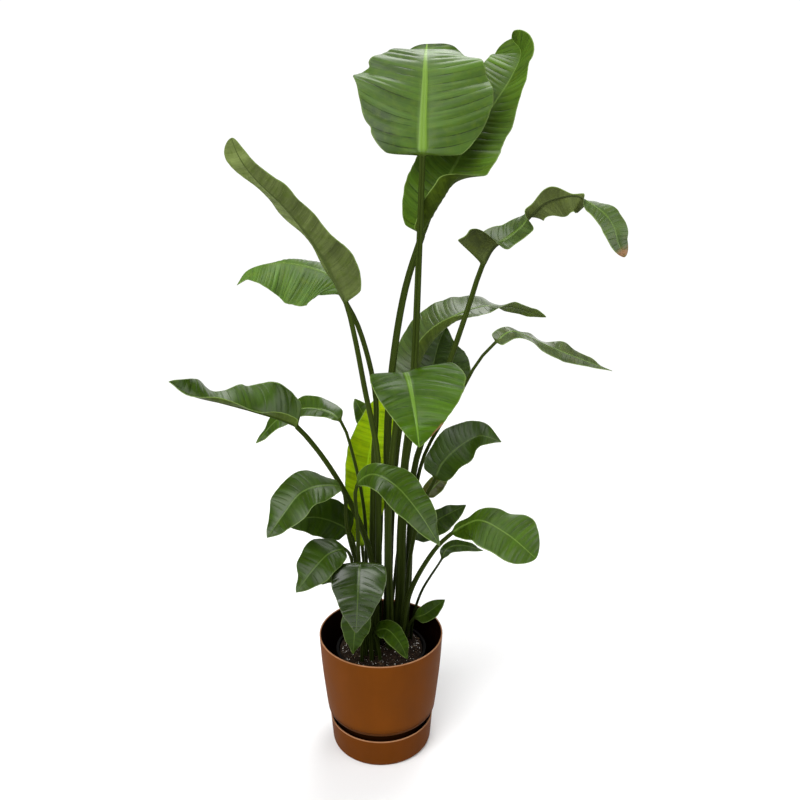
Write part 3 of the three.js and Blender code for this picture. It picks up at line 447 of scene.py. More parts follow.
# leaves
# foot: where the stalk leaves the soil; girth, neck: its radius at the soil and at the blade
# stalk, rib: points of the free stalk and of the midrib; face: way the upper face looks
# half, widest, shoulder, baseFall, taper, tipFall: the outline; lobe: reach of the base lobes
# wideLeft, wideRight: share of that width that each half has; reach: forward slant of the margins
# skew: further forward slant of the right margin, and backward slant of the left one
# fold, curl: lift of each half at the midrib and its further bend to the margin, degrees
# wave, waves: height and number of the ripples along the margin
leafDefaults = {
    "widest": 0.4, "shoulder": 2.3, "baseFall": 0.43, "taper": 1.9, "tipFall": 0.9, "lobe": 0.1,
    "foldLeft": [10], "foldRight": [10], "curlLeft": [-10], "curlRight": [-15], "wave": 3,
    "waves": 3, "wideLeft": [1], "wideRight": [1], "reach": [0], "skew": [0],
}
leaves = {
    "leaf_top_round": {
        "foot": [29, 8], "girth": 10.5, "neck": 5,
        "stalk": [[38, 4, 320], [41, 2, 450], [46, -2, 585], [60, -12, 725], [70, -20, 975]],
        "rib": [[75, -15, 1145], [76, 2, 1205], [79, 22, 1261], [81, 55, 1307], [85, 110, 1336]],
        "face": [[0, -1, 0.15], [0, -1, 0.3], [0, -0.9, 0.6], [0, -0.3, 1]],
        "half": 110, "widest": 0.45, "shoulder": 2.4, "baseFall": 0.45, "taper": 1.9, "tipFall": 0.62,
        "lobe": 0.24, "foldLeft": [6], "foldRight": [6], "curlLeft": [-14], "curlRight": [-14], "wave": 5,
        "wideLeft": [0.95, 0.93, 1, 1.08, 0.95, 0.78, 0.8], "wideRight": [1, 1.04, 1.06, 0.98, 0.98, 1.15],
    },
    "leaf_top_tall": {
        "foot": [10, 20], "girth": 9, "neck": 6,
        "stalk": [[14, 18, 320], [15, 16, 500], [14, 18, 640], [24, 20, 780], [47, 25, 920]],
        "rib": [[76, 25, 1013], [92, 27, 1055], [119, 36, 1108], [156, 54, 1170], [200, 80, 1232],
            [237, 110, 1286], [254, 140, 1327], [240, 167, 1353]],
        "face": [[-0.6, -0.6, 0.4], [-0.55, -0.7, 0.4], [-0.4, -0.85, 0.3], [-0.5, -0.8, 0.3],
            [-0.5, -0.8, 0.3]],
        "half": 72, "widest": 0.36, "shoulder": 2.2, "baseFall": 0.45, "taper": 4.5, "tipFall": 0.55,
        "lobe": 0.25,
        "foldLeft": [40, 30, 20, 10, 5, 5, 5, 5, 5], "curlLeft": [30, 0, -10, -10],
        "foldRight": [30, 0, 0, -10, 0, 5, 15, 25, 35, 40, 40],
        "curlRight": [100, 150, 130, 15, 0, 0, 0, 0, 0, 0, 0],
        "wideLeft": [1, 1, 1, 1, 1.05, 1.2], "wideRight": [1, 1, 1, 0.8, 0.7, 0.6, 0.6],
        "reach": [0, 0, 0, 0.2, 0.6],
    },
    "leaf_left_long": {
        "foot": [-6, 7], "girth": 8.5, "neck": 5,
        "stalk": [[-4, 4, 320], [-3, 2, 480], [-4, -6, 620], [-25, -16, 745], [-41, -22, 840]],
        "rib": [[-55, -24, 902], [-71, -28, 938], [-90, -35, 978], [-116, -45, 1021], [-154, -58, 1070],
            [-181, -66, 1097], [-203, -72, 1121], [-219, -78, 1148], [-228, -80, 1174]],
        "face": [[0.75, 0.1, 0.5], [0.75, 0.1, 0.55], [0.7, 0.2, 0.6], [0.6, 0.4, 0.6], [0.3, 0.8, 0.3]],
        "half": 52, "widest": 0.24, "shoulder": 2.4, "baseFall": 0.42, "taper": 3.4, "tipFall": 0.5,
        "lobe": 0.15,
        "foldLeft": [55, 55, 50, 45, 40, 10], "foldRight": [0, -3, -3, 10], "curlLeft": [0],
        "curlRight": [-10],
        "wideLeft": [1, 1.1, 0.68, 0.68, 0.5, 0.5], "wideRight": [1, 1, 1, 0.5, 1.2],
    },
    "leaf_left_pleated": {
        "foot": [-14, 27], "girth": 7, "neck": 4.5,
        "stalk": [[-17, 28, 320], [-16, 28, 450], [-12, 28, 600], [-8, 29, 720], [-38, 31, 850]],
        "rib": [[-67, 31, 908], [-78, 35, 932], [-97, 42, 947], [-135, 58, 957], [-177, 76, 961],
            [-219, 92, 955], [-251, 104, 941], [-271, 110, 915]],
        "face": [[-0.2, -0.85, 0.4], [0, -0.9, 0.35], [0, -0.9, 0.35], [-0.2, -0.6, 0.7],
            [-0.3, -0.3, 0.85]],
        "half": 66, "widest": 0.4, "shoulder": 1.9, "baseFall": 0.55, "taper": 1.8, "tipFall": 1,
        "foldLeft": [-5, -10, -10, -10], "foldRight": [-45], "curlLeft": [-15], "curlRight": [-50],
        "wideLeft": [1.15, 1.17, 1.1, 0.85, 0.8],
    },
    "leaf_right_arching": {
        "foot": [44, 30], "girth": 8.5, "neck": 5,
        "stalk": [[53, 30, 320], [57, 30, 450], [65, 27, 578], [79, 25, 632], [107, 20, 720],
            [160, 15, 890]],
        "rib": [[182, 13, 962], [200, 8, 996], [223, 0, 1012], [243, -10, 1030], [262, -20, 1055],
            [280, -32, 1072], [300, -45, 1081], [327, -58, 1084], [350, -68, 1072], [372, -76, 1055],
            [385, -82, 1035], [392, -88, 1011], [404, -90, 989]],
        "face": [[-0.8, -0.1, 0.65], [-0.7, -0.3, 0.7], [-0.35, -0.7, 0.6], [-0.2, -0.6, 0.7],
            [0, 0.6, 0.8], [0, 0.9, 0.4], [0, 0.9, 0.3], [0.3, -0.9, 0.1], [0.35, -0.9, 0.2],
            [0.35, -0.9, 0.15], [0.35, -0.9, 0.15]],
        "half": 44, "widest": 0.2, "shoulder": 2.4, "baseFall": 0.42, "taper": 3.2, "tipFall": 0.6,
        "lobe": 0.1, "wave": 2,
        "foldLeft": [70, 50, 20, -20, -30, -5, -40, -45, 0, 20, 10],
        "foldRight": [85, 80, 0, 0, 20, 5, 10, 10, 10, 10, 10], "curlLeft": [-15], "curlRight": [0],
        "wideRight": [2.3, 1.5, 0.45, 0.62, 0.3, 0.58, 0.08, 0.45, 0.75, 0.9, 0.9],
        "wideLeft": [1.3, 0.8, 0.6, 0.85, 0.48, 0.8, 0.7, 0.6, 0.75, 0.9, 1.2],
        "reach": [0.3, 0, 0, 0.15, -0.1, 0, 0, 0, 0, 0, 0],
    },
    "leaf_right_back_arching": {
        "foot": [12, 43], "girth": 7, "neck": 4.5,
        "stalk": [[16, 46, 320], [24, 56, 500], [38, 68, 640]],
        "rib": [[56, 80, 718], [78, 94, 792], [126, 116, 845], [188, 138, 868],
            [250, 154, 868], [330, 176, 842]],
        "face": [[-0.5, -0.7, 0.5], [-0.4, -0.5, 0.6], [-0.1, -0.3, 0.9], [0, -0.25, 0.95],
            [0, 0.5, 0.8], [0, 0.6, 0.8]],
        "half": 54, "widest": 0.35, "shoulder": 2.2, "baseFall": 0.45, "taper": 2.2, "tipFall": 0.8,
        "foldLeft": [10], "foldRight": [0, 0, -20, -20, 0, 0], "curlRight": [130, 130, 0, 0], "wave": 2,
        "wideLeft": [1.15, 1.15, 1.1, 1, 1], "wideRight": [1.1, 1.1, 0.9, 0.5, 0.7, 0.9],
    },
    "leaf_back_dark": {
        "foot": [30, 50], "girth": 5.5, "neck": 4,
        "stalk": [[34, 62, 300], [38, 92, 450], [60, 130, 600]],
        "rib": [[75, 150, 675], [103, 164, 744], [116, 172, 792], [131, 184, 822]],
        "face": [[0.2, -0.9, 0.3], [0.2, -0.9, 0.3]],
        "half": 66, "widest": 0.4, "shoulder": 2.4, "baseFall": 0.42, "taper": 2, "tipFall": 1,
        "foldLeft": [35], "wave": 4, "waves": 4, "wideRight": [1.2],
    },
    "leaf_right_small_drooping": {
        "foot": [50, 45], "girth": 5, "neck": 3,
        "stalk": [[56, 45, 320], [61, 42, 460], [84, 43, 596], [148, 40, 716], [182, 36, 784]],
        "rib": [[211, 30, 820], [241, 36, 841], [271, 44, 831], [319, 60, 807],
            [382, 78, 779], [448, 96, 751]],
        "face": [[-0.3, -0.2, 0.9], [0, 0.3, 0.9], [0.2, -0.4, 0.85], [0.2, -0.4, 0.85]],
        "half": 28, "widest": 0.3, "shoulder": 2.2, "baseFall": 0.45, "taper": 1.8, "tipFall": 1,
        "lobe": 0.7,
        "foldLeft": [35, 25, 0], "foldRight": [-20, -50, -40, -20], "curlLeft": [0], "curlRight": [-10],
        "waves": 4, "wideLeft": [1, 0.5, 0.8, 1.0, 1.0, 0.8], "wideRight": [1, 0.5, 0.8, 0.75, 0.7],
    },
    "leaf_centre_heart": {
        "foot": [18, -12], "girth": 8, "neck": 5,
        "stalk": [[18, -20, 320], [16, -36, 500], [27, -48, 660]],
        "rib": [[45, -56, 782], [50, -92, 789], [57, -138, 771], [64, -170, 736], [69, -184, 694]],
        "face": [[-0.05, -0.3, 1], [-0.05, -0.5, 0.85], [0, -0.9, 0.45], [0.1, -1, 0.1]],
        "half": 82, "widest": 0.24, "shoulder": 2.6, "baseFall": 0.385, "taper": 1.6, "tipFall": 0.85,
        "lobe": 0.25, "foldLeft": [10, 5, 10], "foldRight": [10, 5, 10], "curlLeft": [-12],
        "curlRight": [-12], "wideLeft": [1.14], "wideRight": [0.78], "skew": [-0.25, -0.1, 0],
    },
    "leaf_yellow_upright": {
        "foot": [-21, 41], "girth": 4.5, "neck": 3.5,
        "stalk": [[-29, 48, 320]],
        "rib": [[-38, 58, 395], [-36, 72, 480], [-26, 86, 570], [-11, 94, 645], [5, 98, 705]],
        "face": [[0.1, -1, 0.1], [0.1, -1, 0.1]],
        "half": 54, "widest": 0.6, "shoulder": 1.9, "baseFall": 0.53, "taper": 1.9, "tipFall": 0.8,
        "lobe": 0,
        "foldLeft": [12], "foldRight": [12], "curlLeft": [8], "curlRight": [8], "wave": 2,
        "wideLeft": [0.85],
    },
    "leaf_far_left": {
        "foot": [-10, -12], "girth": 7, "neck": 4.5,
        "stalk": [[-9, -12, 300], [-21, -14, 425], [-76, -22, 570]],
        "rib": [[-145, -50, 684], [-165, -60, 700], [-212, -84, 724], [-262, -110, 747],
            [-309, -134, 768], [-338, -150, 795]],
        "face": [[0.1, -0.7, 0.65], [0.05, -0.7, 0.65], [0, -0.7, 0.6], [0, -0.7, 0.6]],
        "half": 48, "widest": 0.24, "shoulder": 2.4, "baseFall": 0.42, "taper": 2.2, "tipFall": 0.75,
        "lobe": 0.3,
        "foldLeft": [85, 72, 70, 72], "foldRight": [5, 25, 0, -25, 5, 20], "curlLeft": [10],
        "curlRight": [-20], "wave": 5, "waves": 2,
        "wideLeft": [0.5, 0.45, 0.45, 0.6], "wideRight": [1.2, 1.3, 1.08, 0.74, 1.3, 1.1],
    },
    "leaf_left_back": {
        "foot": [-31, 27], "girth": 4, "neck": 3,
        "stalk": [[-30, 31, 320], [-32, 38, 480], [-55, 42, 608]],
        "rib": [[-74, 44, 664], [-101, 54, 682], [-145, 70, 684], [-199, 90, 657], [-250, 104, 600]],
        "face": [[0.1, -0.6, 0.8], [0, -0.7, 0.7], [-0.3, -0.6, 0.7], [-0.6, -0.6, 0.4]],
        "half": 28, "widest": 0.3, "shoulder": 2.4, "baseFall": 0.42, "taper": 2.2, "tipFall": 0.9,
        "lobe": 0.2,
        "foldLeft": [-5], "foldRight": [0], "curlRight": [-10], "wideLeft": [0.5, 0.6, 0.9, 1],
    },
    "leaf_back_grey": {
        "foot": [-6, 56], "girth": 4, "neck": 3,
        "stalk": [[-6, 70, 300], [0, 98, 490]],
        "rib": [[-14, 106, 590], [-27, 110, 640], [-52, 114, 690]],
        "face": [[0.1, -0.8, 0.4], [0.1, -0.8, 0.4]],
        "half": 21, "widest": 0.5, "shoulder": 2, "baseFall": 0.5, "taper": 2, "tipFall": 0.8, "lobe": 0,
        "foldLeft": [15], "curlLeft": [0], "curlRight": [0], "wave": 1,
    },
    "leaf_left_middle": {
        "foot": [-24, -13], "girth": 4.5, "neck": 3.5,
        "stalk": [[-30, -24, 300], [-42, -38, 395], [-60, -54, 490]],
        "rib": [[-66, -68, 572], [-95, -90, 589], [-134, -112, 585], [-164, -126, 551],
            [-194, -134, 509]],
        "face": [[0, -0.4, 0.9], [-0.2, -0.6, 0.75], [-0.4, -0.75, 0.5], [-0.5, -0.8, 0.3]],
        "half": 42, "widest": 0.5, "shoulder": 2, "baseFall": 0.8, "taper": 1.9, "tipFall": 0.95,
    },
    "leaf_front_centre": {
        "foot": [-7, -33], "girth": 4.5, "neck": 3.5,
        "stalk": [[-18, -44, 300], [-37, -55, 400], [-40, -60, 500]],
        "rib": [[-40, -66, 578], [-12, -80, 606], [28, -106, 597], [68, -128, 558], [107, -142, 498]],
        "face": [[0.1, -0.4, 0.9], [0.3, -0.6, 0.75], [0.5, -0.75, 0.4], [0.5, -0.8, 0.3]],
        "half": 38, "widest": 0.45, "shoulder": 2, "baseFall": 0.75, "taper": 1.9, "tipFall": 0.95,
    },
    "leaf_left_under": {
        "foot": [-33, 10], "girth": 4, "neck": 3,
        "stalk": [[-38, 4, 300], [-46, -2, 380]],
        "rib": [[-57, -9, 458], [-85, -14, 482], [-126, -22, 497], [-180, -28, 487]],
        "face": [[0, -0.7, 0.7], [-0.1, -0.7, 0.7], [-0.2, -0.7, 0.6]],
        "half": 37, "widest": 0.42, "shoulder": 2.2, "baseFall": 0.45, "taper": 2, "tipFall": 0.9,
        "foldLeft": [5], "foldRight": [5], "wideRight": [1.3, 1.15, 1],
    },
    "leaf_left_lower": {
        "foot": [-29, -34], "girth": 4, "neck": 3,
        "stalk": [[-34, -43, 290], [-45, -57, 365]],
        "rib": [[-60, -74, 455], [-90, -98, 460], [-114, -116, 443], [-148, -128, 399]],
        "face": [[-0.1, -0.5, 0.85], [-0.4, -0.75, 0.6], [-0.55, -0.8, 0.3]],
        "half": 37, "widest": 0.42, "shoulder": 2, "baseFall": 0.6, "taper": 1.9, "tipFall": 0.95,
        "foldLeft": [5], "foldRight": [5], "wideRight": [1.3, 1.2, 1],
    },
    "leaf_left_small_back": {
        "foot": [-44, 18], "girth": 3, "neck": 2.5,
        "stalk": [[-64, 24, 296]],
        "rib": [[-96, 25, 334], [-118, 25, 352], [-137, 25, 373]],
        "face": [[0, -0.8, 0.6], [0, -0.8, 0.6]],
        "half": 18, "widest": 0.5, "shoulder": 2, "baseFall": 0.5, "taper": 2, "tipFall": 0.8, "lobe": 0,
        "foldLeft": [5], "foldRight": [5], "curlLeft": [0], "curlRight": [0], "wave": 1,
    },
    "leaf_front_heart": {
        "foot": [-17, -50], "girth": 4.5, "neck": 3.5,
        "stalk": [[-20, -60, 290], [-27, -75, 355]],
        "rib": [[-35, -92, 438], [-35, -109, 438], [-37, -130, 402], [-41, -143, 326]],
        "face": [[0, -0.5, 0.85], [0, -0.8, 0.6], [0, -0.95, 0.3], [0, -1, 0.2]],
        "half": 50, "widest": 0.2, "shoulder": 2.4, "baseFall": 0.42, "taper": 1.5, "tipFall": 0.85,
        "lobe": 0.3,
        "curlLeft": [-15], "wave": 2,
    },
    "leaf_front_under_heart": {
        "foot": [-36, -52], "girth": 3.5, "neck": 3,
        "stalk": [[-35, -62, 280]],
        "rib": [[-37, -74, 330], [-40, -86, 333], [-46, -94, 300], [-51, -90, 247]],
        "face": [[0, -0.6, 0.8], [0, -0.9, 0.4], [0, -1, 0.2]],
        "half": 28, "widest": 0.3, "shoulder": 2.3, "baseFall": 0.43, "taper": 1.4, "tipFall": 1,
        "curlLeft": [-15], "wave": 2,
    },
    "leaf_front_low": {
        "foot": [-1, -50], "girth": 3.5, "neck": 2.5,
        "stalk": [[-5, -52, 245]],
        "rib": [[-10, -57, 271], [12, -70, 288], [36, -84, 270], [52, -91, 237]],
        "face": [[0.1, -0.5, 0.85], [0.3, -0.7, 0.6], [0.5, -0.8, 0.3]],
        "half": 20, "widest": 0.42, "shoulder": 2.2, "baseFall": 0.45, "taper": 1.9, "tipFall": 0.9,
        "curlLeft": [-15], "wave": 2,
    },
    "leaf_right_low_small": {
        "foot": [49, -3], "girth": 3, "neck": 2.5,
        "stalk": [[53, 2, 238]],
        "rib": [[64, 10, 261], [88, 18, 267], [129, 30, 293]],
        "face": [[-0.3, -0.7, 0.6], [-0.3, -0.7, 0.6]],
        "half": 18, "widest": 0.45, "shoulder": 2.2, "baseFall": 0.45, "taper": 1.9, "tipFall": 0.95,
        "curlLeft": [-5], "curlRight": [-5], "wave": 1,
    },
    "leaf_right_low_thin": {
        "foot": [60, 26], "girth": 3.2, "neck": 2.2,
        "stalk": [[66, 31, 260], [82, 36, 310]],
        "rib": [[120, 40, 376], [132, 44, 399], [161, 52, 402], [206, 60, 386]],
        "face": [[-0.2, -0.5, 0.85], [0, -0.6, 0.8], [0.1, -0.6, 0.8]],
        "half": 13, "widest": 0.4, "shoulder": 2.2, "baseFall": 0.45, "taper": 1.9, "tipFall": 0.95,
        "foldLeft": [0], "foldRight": [-10], "curlLeft": [0], "curlRight": [-10], "wave": 2,
    },
    "leaf_right_low_broad": {
        "foot": [40, -14], "girth": 6.5, "neck": 4,
        "stalk": [[48, -16, 295], [62, -18, 350], [104, -22, 430]],
        "rib": [[132, -30, 465], [158, -42, 490], [185, -60, 508], [231, -88, 494], [281, -112, 458]],
        "face": [[-0.3, -0.4, 0.9], [0, -0.6, 0.8], [0.3, -0.75, 0.6], [0.4, -0.8, 0.4]],
        "half": 44, "widest": 0.6, "shoulder": 1.9, "baseFall": 0.9, "taper": 3, "tipFall": 0.62,
        "foldLeft": [8], "foldRight": [8], "curlRight": [-12],
        "wideLeft": [0.9, 0.52, 0.85, 1.25, 1.1], "wideRight": [1.3, 1.25, 1.1, 1],
    },
    "leaf_right_low_back": {
        "foot": [37, 66], "girth": 4, "neck": 3,
        "stalk": [[44, 70, 300]],
        "rib": [[62, 75, 402], [112, 88, 439], [173, 102, 468]],
        "face": [[-0.2, -0.7, 0.7], [-0.2, -0.7, 0.7]],
        "half": 32, "widest": 0.45, "shoulder": 2.2, "baseFall": 0.45, "taper": 1.9, "tipFall": 0.9,
        "wideLeft": [0.7], "foldLeft": [8], "foldRight": [8], "curlRight": [-10], "wave": 2,
    },
    "leaf_right_middle": {
        "foot": [46, 8], "girth": 5, "neck": 3.5,
        "stalk": [[50, 9, 300], [58, 11, 400], [84, 13, 515]],
        "rib": [[104, 10, 560], [115, 4, 592], [145, -6, 630], [184, -20, 658], [222, -34, 651]],
        "face": [[-0.2, -0.75, 0.6], [-0.1, -0.8, 0.5], [0.1, -0.75, 0.6]],
        "half": 38, "widest": 0.42, "shoulder": 2.3, "baseFall": 0.43, "taper": 1.8, "tipFall": 0.95,
        "lobe": 0.2,
        "wideLeft": [1, 1.1, 1.15], "foldLeft": [8], "foldRight": [8], "curlRight": [15],
    },
    "leaf_right_small_olive": {
        "foot": [12, 62], "girth": 3.5, "neck": 2.5,
        "stalk": [[22, 76, 265], [42, 110, 404]],
        "rib": [[86, 112, 478], [110, 118, 504], [136, 126, 526]],
        "face": [[0, -0.8, 0.4], [0, -0.8, 0.4]],
        "half": 18, "widest": 0.5, "shoulder": 2.2, "baseFall": 0.45, "taper": 1.9, "tipFall": 0.8,
        "foldLeft": [8], "foldRight": [8], "curlLeft": [0], "curlRight": [0], "wave": 2,
    },
}

# how each leaf's surface differs from the usual one
# pleat, pitch: height and spacing of the pleats; pucker: height of the wider dents
# crease: how much darker the folds between pleats are painted, as painted shade; tone: factor on the blade's
# colours, painted shade for leaves under others
# matteFrom: share of the length past which the upper face doesn't shine; glow: light let through
# dry: [start, end] along the blade, side (-1 left, 1 right, 0 both), share across where it starts
# dusk: the same for painted shade, and how dark it is; nicks: [place along, side, share of the half width
# lost, width along]
lookDefaults = {
    "pleat": 0.66, "pitch": 12, "pucker": 1.0, "crease": 0.36, "shadeFactor": 1.0, "upper": (0.033, 0.072, 0.0032),
    "under": (0.056, 0.084, 0.0135), "ribColour": (0.10, 0.17, 0.025), "ribWidth": 0.5,
    "marginColour": (0.17, 0.25, 0.06), "stalkColour": (0.021, 0.032, 0.0045),
    "dryColour": (0.20, 0.10, 0.035), "roughness": 0.30, "specular": 0.32, "matteSpecular": 0.02,
    "matteFrom": 2, "glow": 0.0, "dry": [], "nicks": [], "paintedShade": [], "slot": "leaf_green",
}
leafLooks = {
    "leaf_top_round": {
        "pleat": 1.3, "pitch": 15, "pucker": 2.2, "crease": 0.78, "upper": (0.052, 0.110, 0.009),
        "ribColour": (0.135, 0.24, 0.024), "ribWidth": 1.5,
        "specular": 0.24, "roughness": 0.42, "matteFrom": 0.88,
        "nicks": [[0.62, -1, 0.05, 0.02], [0.20, -1, 0.04, 0.02]],
        "paintedShade": [[-0.1, 0.3, -1, 0.45, 0.7], [-0.1, 1.1, -1, 0.1, 0.32], [0.92, 1.2, 0, -0.3, 0.8]],
    },
    "leaf_top_tall": {
        "pleat": 0.8, "crease": 0.65, "upper": (0.050, 0.102, 0.008), "under": (0.042, 0.068, 0.006),
        "specular": 0.1, "roughness": 0.4,
    },
    "leaf_left_long": {
        "pleat": 0.5, "under": (0.155, 0.200, 0.060),
        "paintedShade": [[-0.1, 0.84, -1, -0.25, 0.6], [-0.1, 0.32, -1, 0.2, 0.7]],
    },
    "leaf_left_pleated": {
        "pleat": 1.1, "pitch": 9, "crease": 0.7, "upper": (0.070, 0.135, 0.022), "specular": 0.16,
    },
    # grey-green upper colour, partly painted satin sheen
    "leaf_right_arching": {
        "pleat": 0.4, "pitch": 9, "crease": 0.35, "upper": (0.052, 0.088, 0.02),
        "under": (0.075, 0.096, 0.028), "dry": [[0.965, 1.0, 0, -1]],
    },
    # grey-green upper colour, partly painted satin sheen
    "leaf_right_back_arching": {"crease": 0.5, "upper": (0.048, 0.08, 0.016)},
    # grey-green upper colour, partly painted satin sheen
    "leaf_right_small_drooping": {"pleat": 0.5, "crease": 0.4, "upper": (0.062, 0.09, 0.03)},
    "leaf_centre_heart": {
        "pleat": 0.9, "pitch": 16, "upper": (0.034, 0.082, 0.0015), "specular": 0.19,
        "ribColour": (0.11, 0.21, 0.02), "ribWidth": 1.0, "dry": [[0.80, 0.93, -1, 0.93]],
        "paintedShade": [[0.22, 0.7, 1, -0.3, 0.3], [0.15, 0.5, -1, -0.3, 0.18]],
    },
    # a pale young leaf, its colours painted lighter still for the light shining through it
    "leaf_yellow_upright": {
        "upper": (0.22, 0.36, 0.003), "under": (0.22, 0.36, 0.003), "ribColour": (0.24, 0.40, 0.01),
        "glow": 0.2, "specular": 0.06, "slot": "leaf_yellow_green",
    },
    "leaf_right_small_olive": {
        "upper": (0.045, 0.055, 0.003), "under": (0.045, 0.055, 0.003), "slot": "leaf_yellow_green",
    },
    "leaf_back_dark": {"shadeFactor": 0.7},
    "leaf_left_under": {"shadeFactor": 0.42, "specular": 0.05},
    "leaf_left_lower": {"shadeFactor": 0.6, "specular": 0.2},
    "leaf_left_small_back": {"shadeFactor": 0.6, "specular": 0.14},
    "leaf_front_heart": {"shadeFactor": 0.4, "specular": 0.5, "roughness": 0.24, "pucker": 2.0},
    "leaf_front_under_heart": {"shadeFactor": 0.5, "specular": 0.12},
    "leaf_front_low": {"shadeFactor": 0.55, "specular": 0.04},
    "leaf_right_low_small": {"shadeFactor": 0.5, "specular": 0.04},
    "leaf_right_low_thin": {"shadeFactor": 0.6, "specular": 0.2},
    "leaf_right_low_back": {"shadeFactor": 0.6, "specular": 0.2},
    "leaf_right_middle": {"shadeFactor": 0.62, "specular": 0.22},
    "leaf_left_middle": {"shadeFactor": 0.74, "specular": 0.26},
    "leaf_front_centre": {"shadeFactor": 0.86, "specular": 0.26},
}
# footZ: heights of the closed foot's two rings; lineZ: of the first two points of the stalk's line
# joinLength: length over which the stalk opens into the blade; ribBand: share of the columns
blade = {"thickness": 1.1, "tipHalfWidth": 0.5, "joinLength": 16, "ribBand": 0.16,
         "footZ": [172, 205], "lineZ": [187, 214]}
# half width from which a grid is used, its columns, the step between its rows, its stalk's rows
leafGrids = [(60, 61, 1.4, 34), (34, 49, 1.6, 28), (0, 37, 2.0, 20)]
# noise cells per metre out from the midrib and along it
veinScales = {"fine": (9, 480, 0), "bands": (6, 130, 0), "broad": (5, 42, 0), "length": (900, 8, 0),
              "fade": (22, 60, 0)}


def splineAt(knots, places):
    # centripetal spline: cubic pieces whose end slopes use square roots of the chords
    p = np.vstack([2 * knots[0] - knots[1], knots, 2 * knots[-1] - knots[-2]])
    span = np.minimum(places.astype(int), len(knots) - 2)
    t = (places - span)[:, None]
    p0, p1, p2, p3 = (p[span + k] for k in range(4))
    d0, d1, d2 = (np.sqrt(np.linalg.norm(b - a, axis=1, keepdims=True))
                  for a, b in ((p0, p1), (p1, p2), (p2, p3)))
    s1 = ((p1 - p0) / d0 - (p2 - p0) / (d0 + d1) + (p2 - p1) / d1) * d1
    s2 = ((p2 - p1) / d1 - (p3 - p1) / (d1 + d2) + (p3 - p2) / d2) * d1
    return p1 + s1 * t + (-3 * p1 + 3 * p2 - 2 * s1 - s2) * t ** 2 + (2 * p1 - 2 * p2 + s1 + s2) * t ** 3


def lineAt(knots, start, end, shares):
    # points and directions at shares of the length of one stretch of the spline
    fine = splineAt(knots, np.linspace(start, end, 1500))
    run = np.append(0, np.cumsum(np.linalg.norm(np.diff(fine, axis=0), axis=1)))
    heading = unit(np.gradient(fine, axis=0))
    at = shares * run[-1]
    points = np.stack([np.interp(at, run, fine[:, k]) for k in range(3)], 1)
    ways = np.stack([np.interp(at, run, heading[:, k]) for k in range(3)], 1)
    return points, unit(ways), run[-1]


def bladeShares(count):
    # even steps less a sine of them: closer together at the blade's base and tip
    even = np.linspace(0, 1, count)
    return even + 0.92 / (2 * np.pi) * -np.sin(2 * np.pi * even)


def leafLine(leaf, rowStep, stalkRows):
    # the foot, the free stalk and the midrib as one line: its points and directions, then for
    # each row the share of the blade, the share of the stalk and the length from the blade's base
    knots = np.array([[*leaf["foot"], z] for z in blade["lineZ"]] + leaf["stalk"] + leaf["rib"], float)
    bladeStart = len(leaf["stalk"]) + 2
    stalkShare = np.linspace(0, 1, stalkRows, endpoint=False)
    stalkLine, stalkWay, stalkLength = lineAt(knots, 1, bladeStart, stalkShare)
    bladeRows = 40 + int(np.linalg.norm(np.diff(knots[bladeStart:], axis=0), axis=1).sum() / rowStep)
    share = bladeShares(bladeRows)
    ribLine, ribWay, ribLength = lineAt(knots, bladeStart, len(knots) - 1, share)
    foot = np.array([[*leaf["foot"], z] for z in blade["footZ"]], float)
    centre = np.vstack([foot, stalkLine, ribLine])
    way = np.vstack([[[0, 0, 1], [0, 0, 1]], stalkWay, ribWay])
    u = np.concatenate([np.zeros(2 + stalkRows), share])
    free = np.concatenate([[0, 0], stalkShare, np.ones(bladeRows)])
    along = np.concatenate([[-stalkLength - 40, -stalkLength - 8], (stalkShare - 1) * stalkLength,
                            share * ribLength])
    return centre, way, u, free, along


def halfWidths(leaf, u):
    # half (1 - ((widest - u) / widest)^shoulder)^baseFall, then the same form to the tip
    before = np.clip((leaf["widest"] - u) / leaf["widest"], 0, 1)
    after = np.clip((u - leaf["widest"]) / (1 - leaf["widest"]), 0, 1)
    swell = (1 - before ** leaf["shoulder"]) ** leaf["baseFall"]
    narrow = (1 - after ** leaf["taper"]) ** leaf["tipFall"]
    return leaf["half"] * np.where(u < leaf["widest"], swell, narrow)


def perSide(leaf, word, u, k):
    # the leaf's left list at the left columns and its right list at the others
    return np.where(k < 0, eased(leaf[word + "Left"], u)[:, None], eased(leaf[word + "Right"], u)[:, None])


def wander(random, x, pitch, count=4):
    # smooth noise: sum of sines of nearby wavelengths with random phases
    waves = pitch * random.uniform(0.7, 2.2, count)
    phase = random.uniform(0, 2 * np.pi, count)
    return np.sin(2 * np.pi * x[..., None] / waves + phase).sum(-1) / np.sqrt(count)


def wanderPerSide(random, s, k, pitch):
    # smooth noise of its own for each half
    left, right = wander(random, s, pitch), wander(random, s, pitch)
    return np.where(k < 0, left, right)


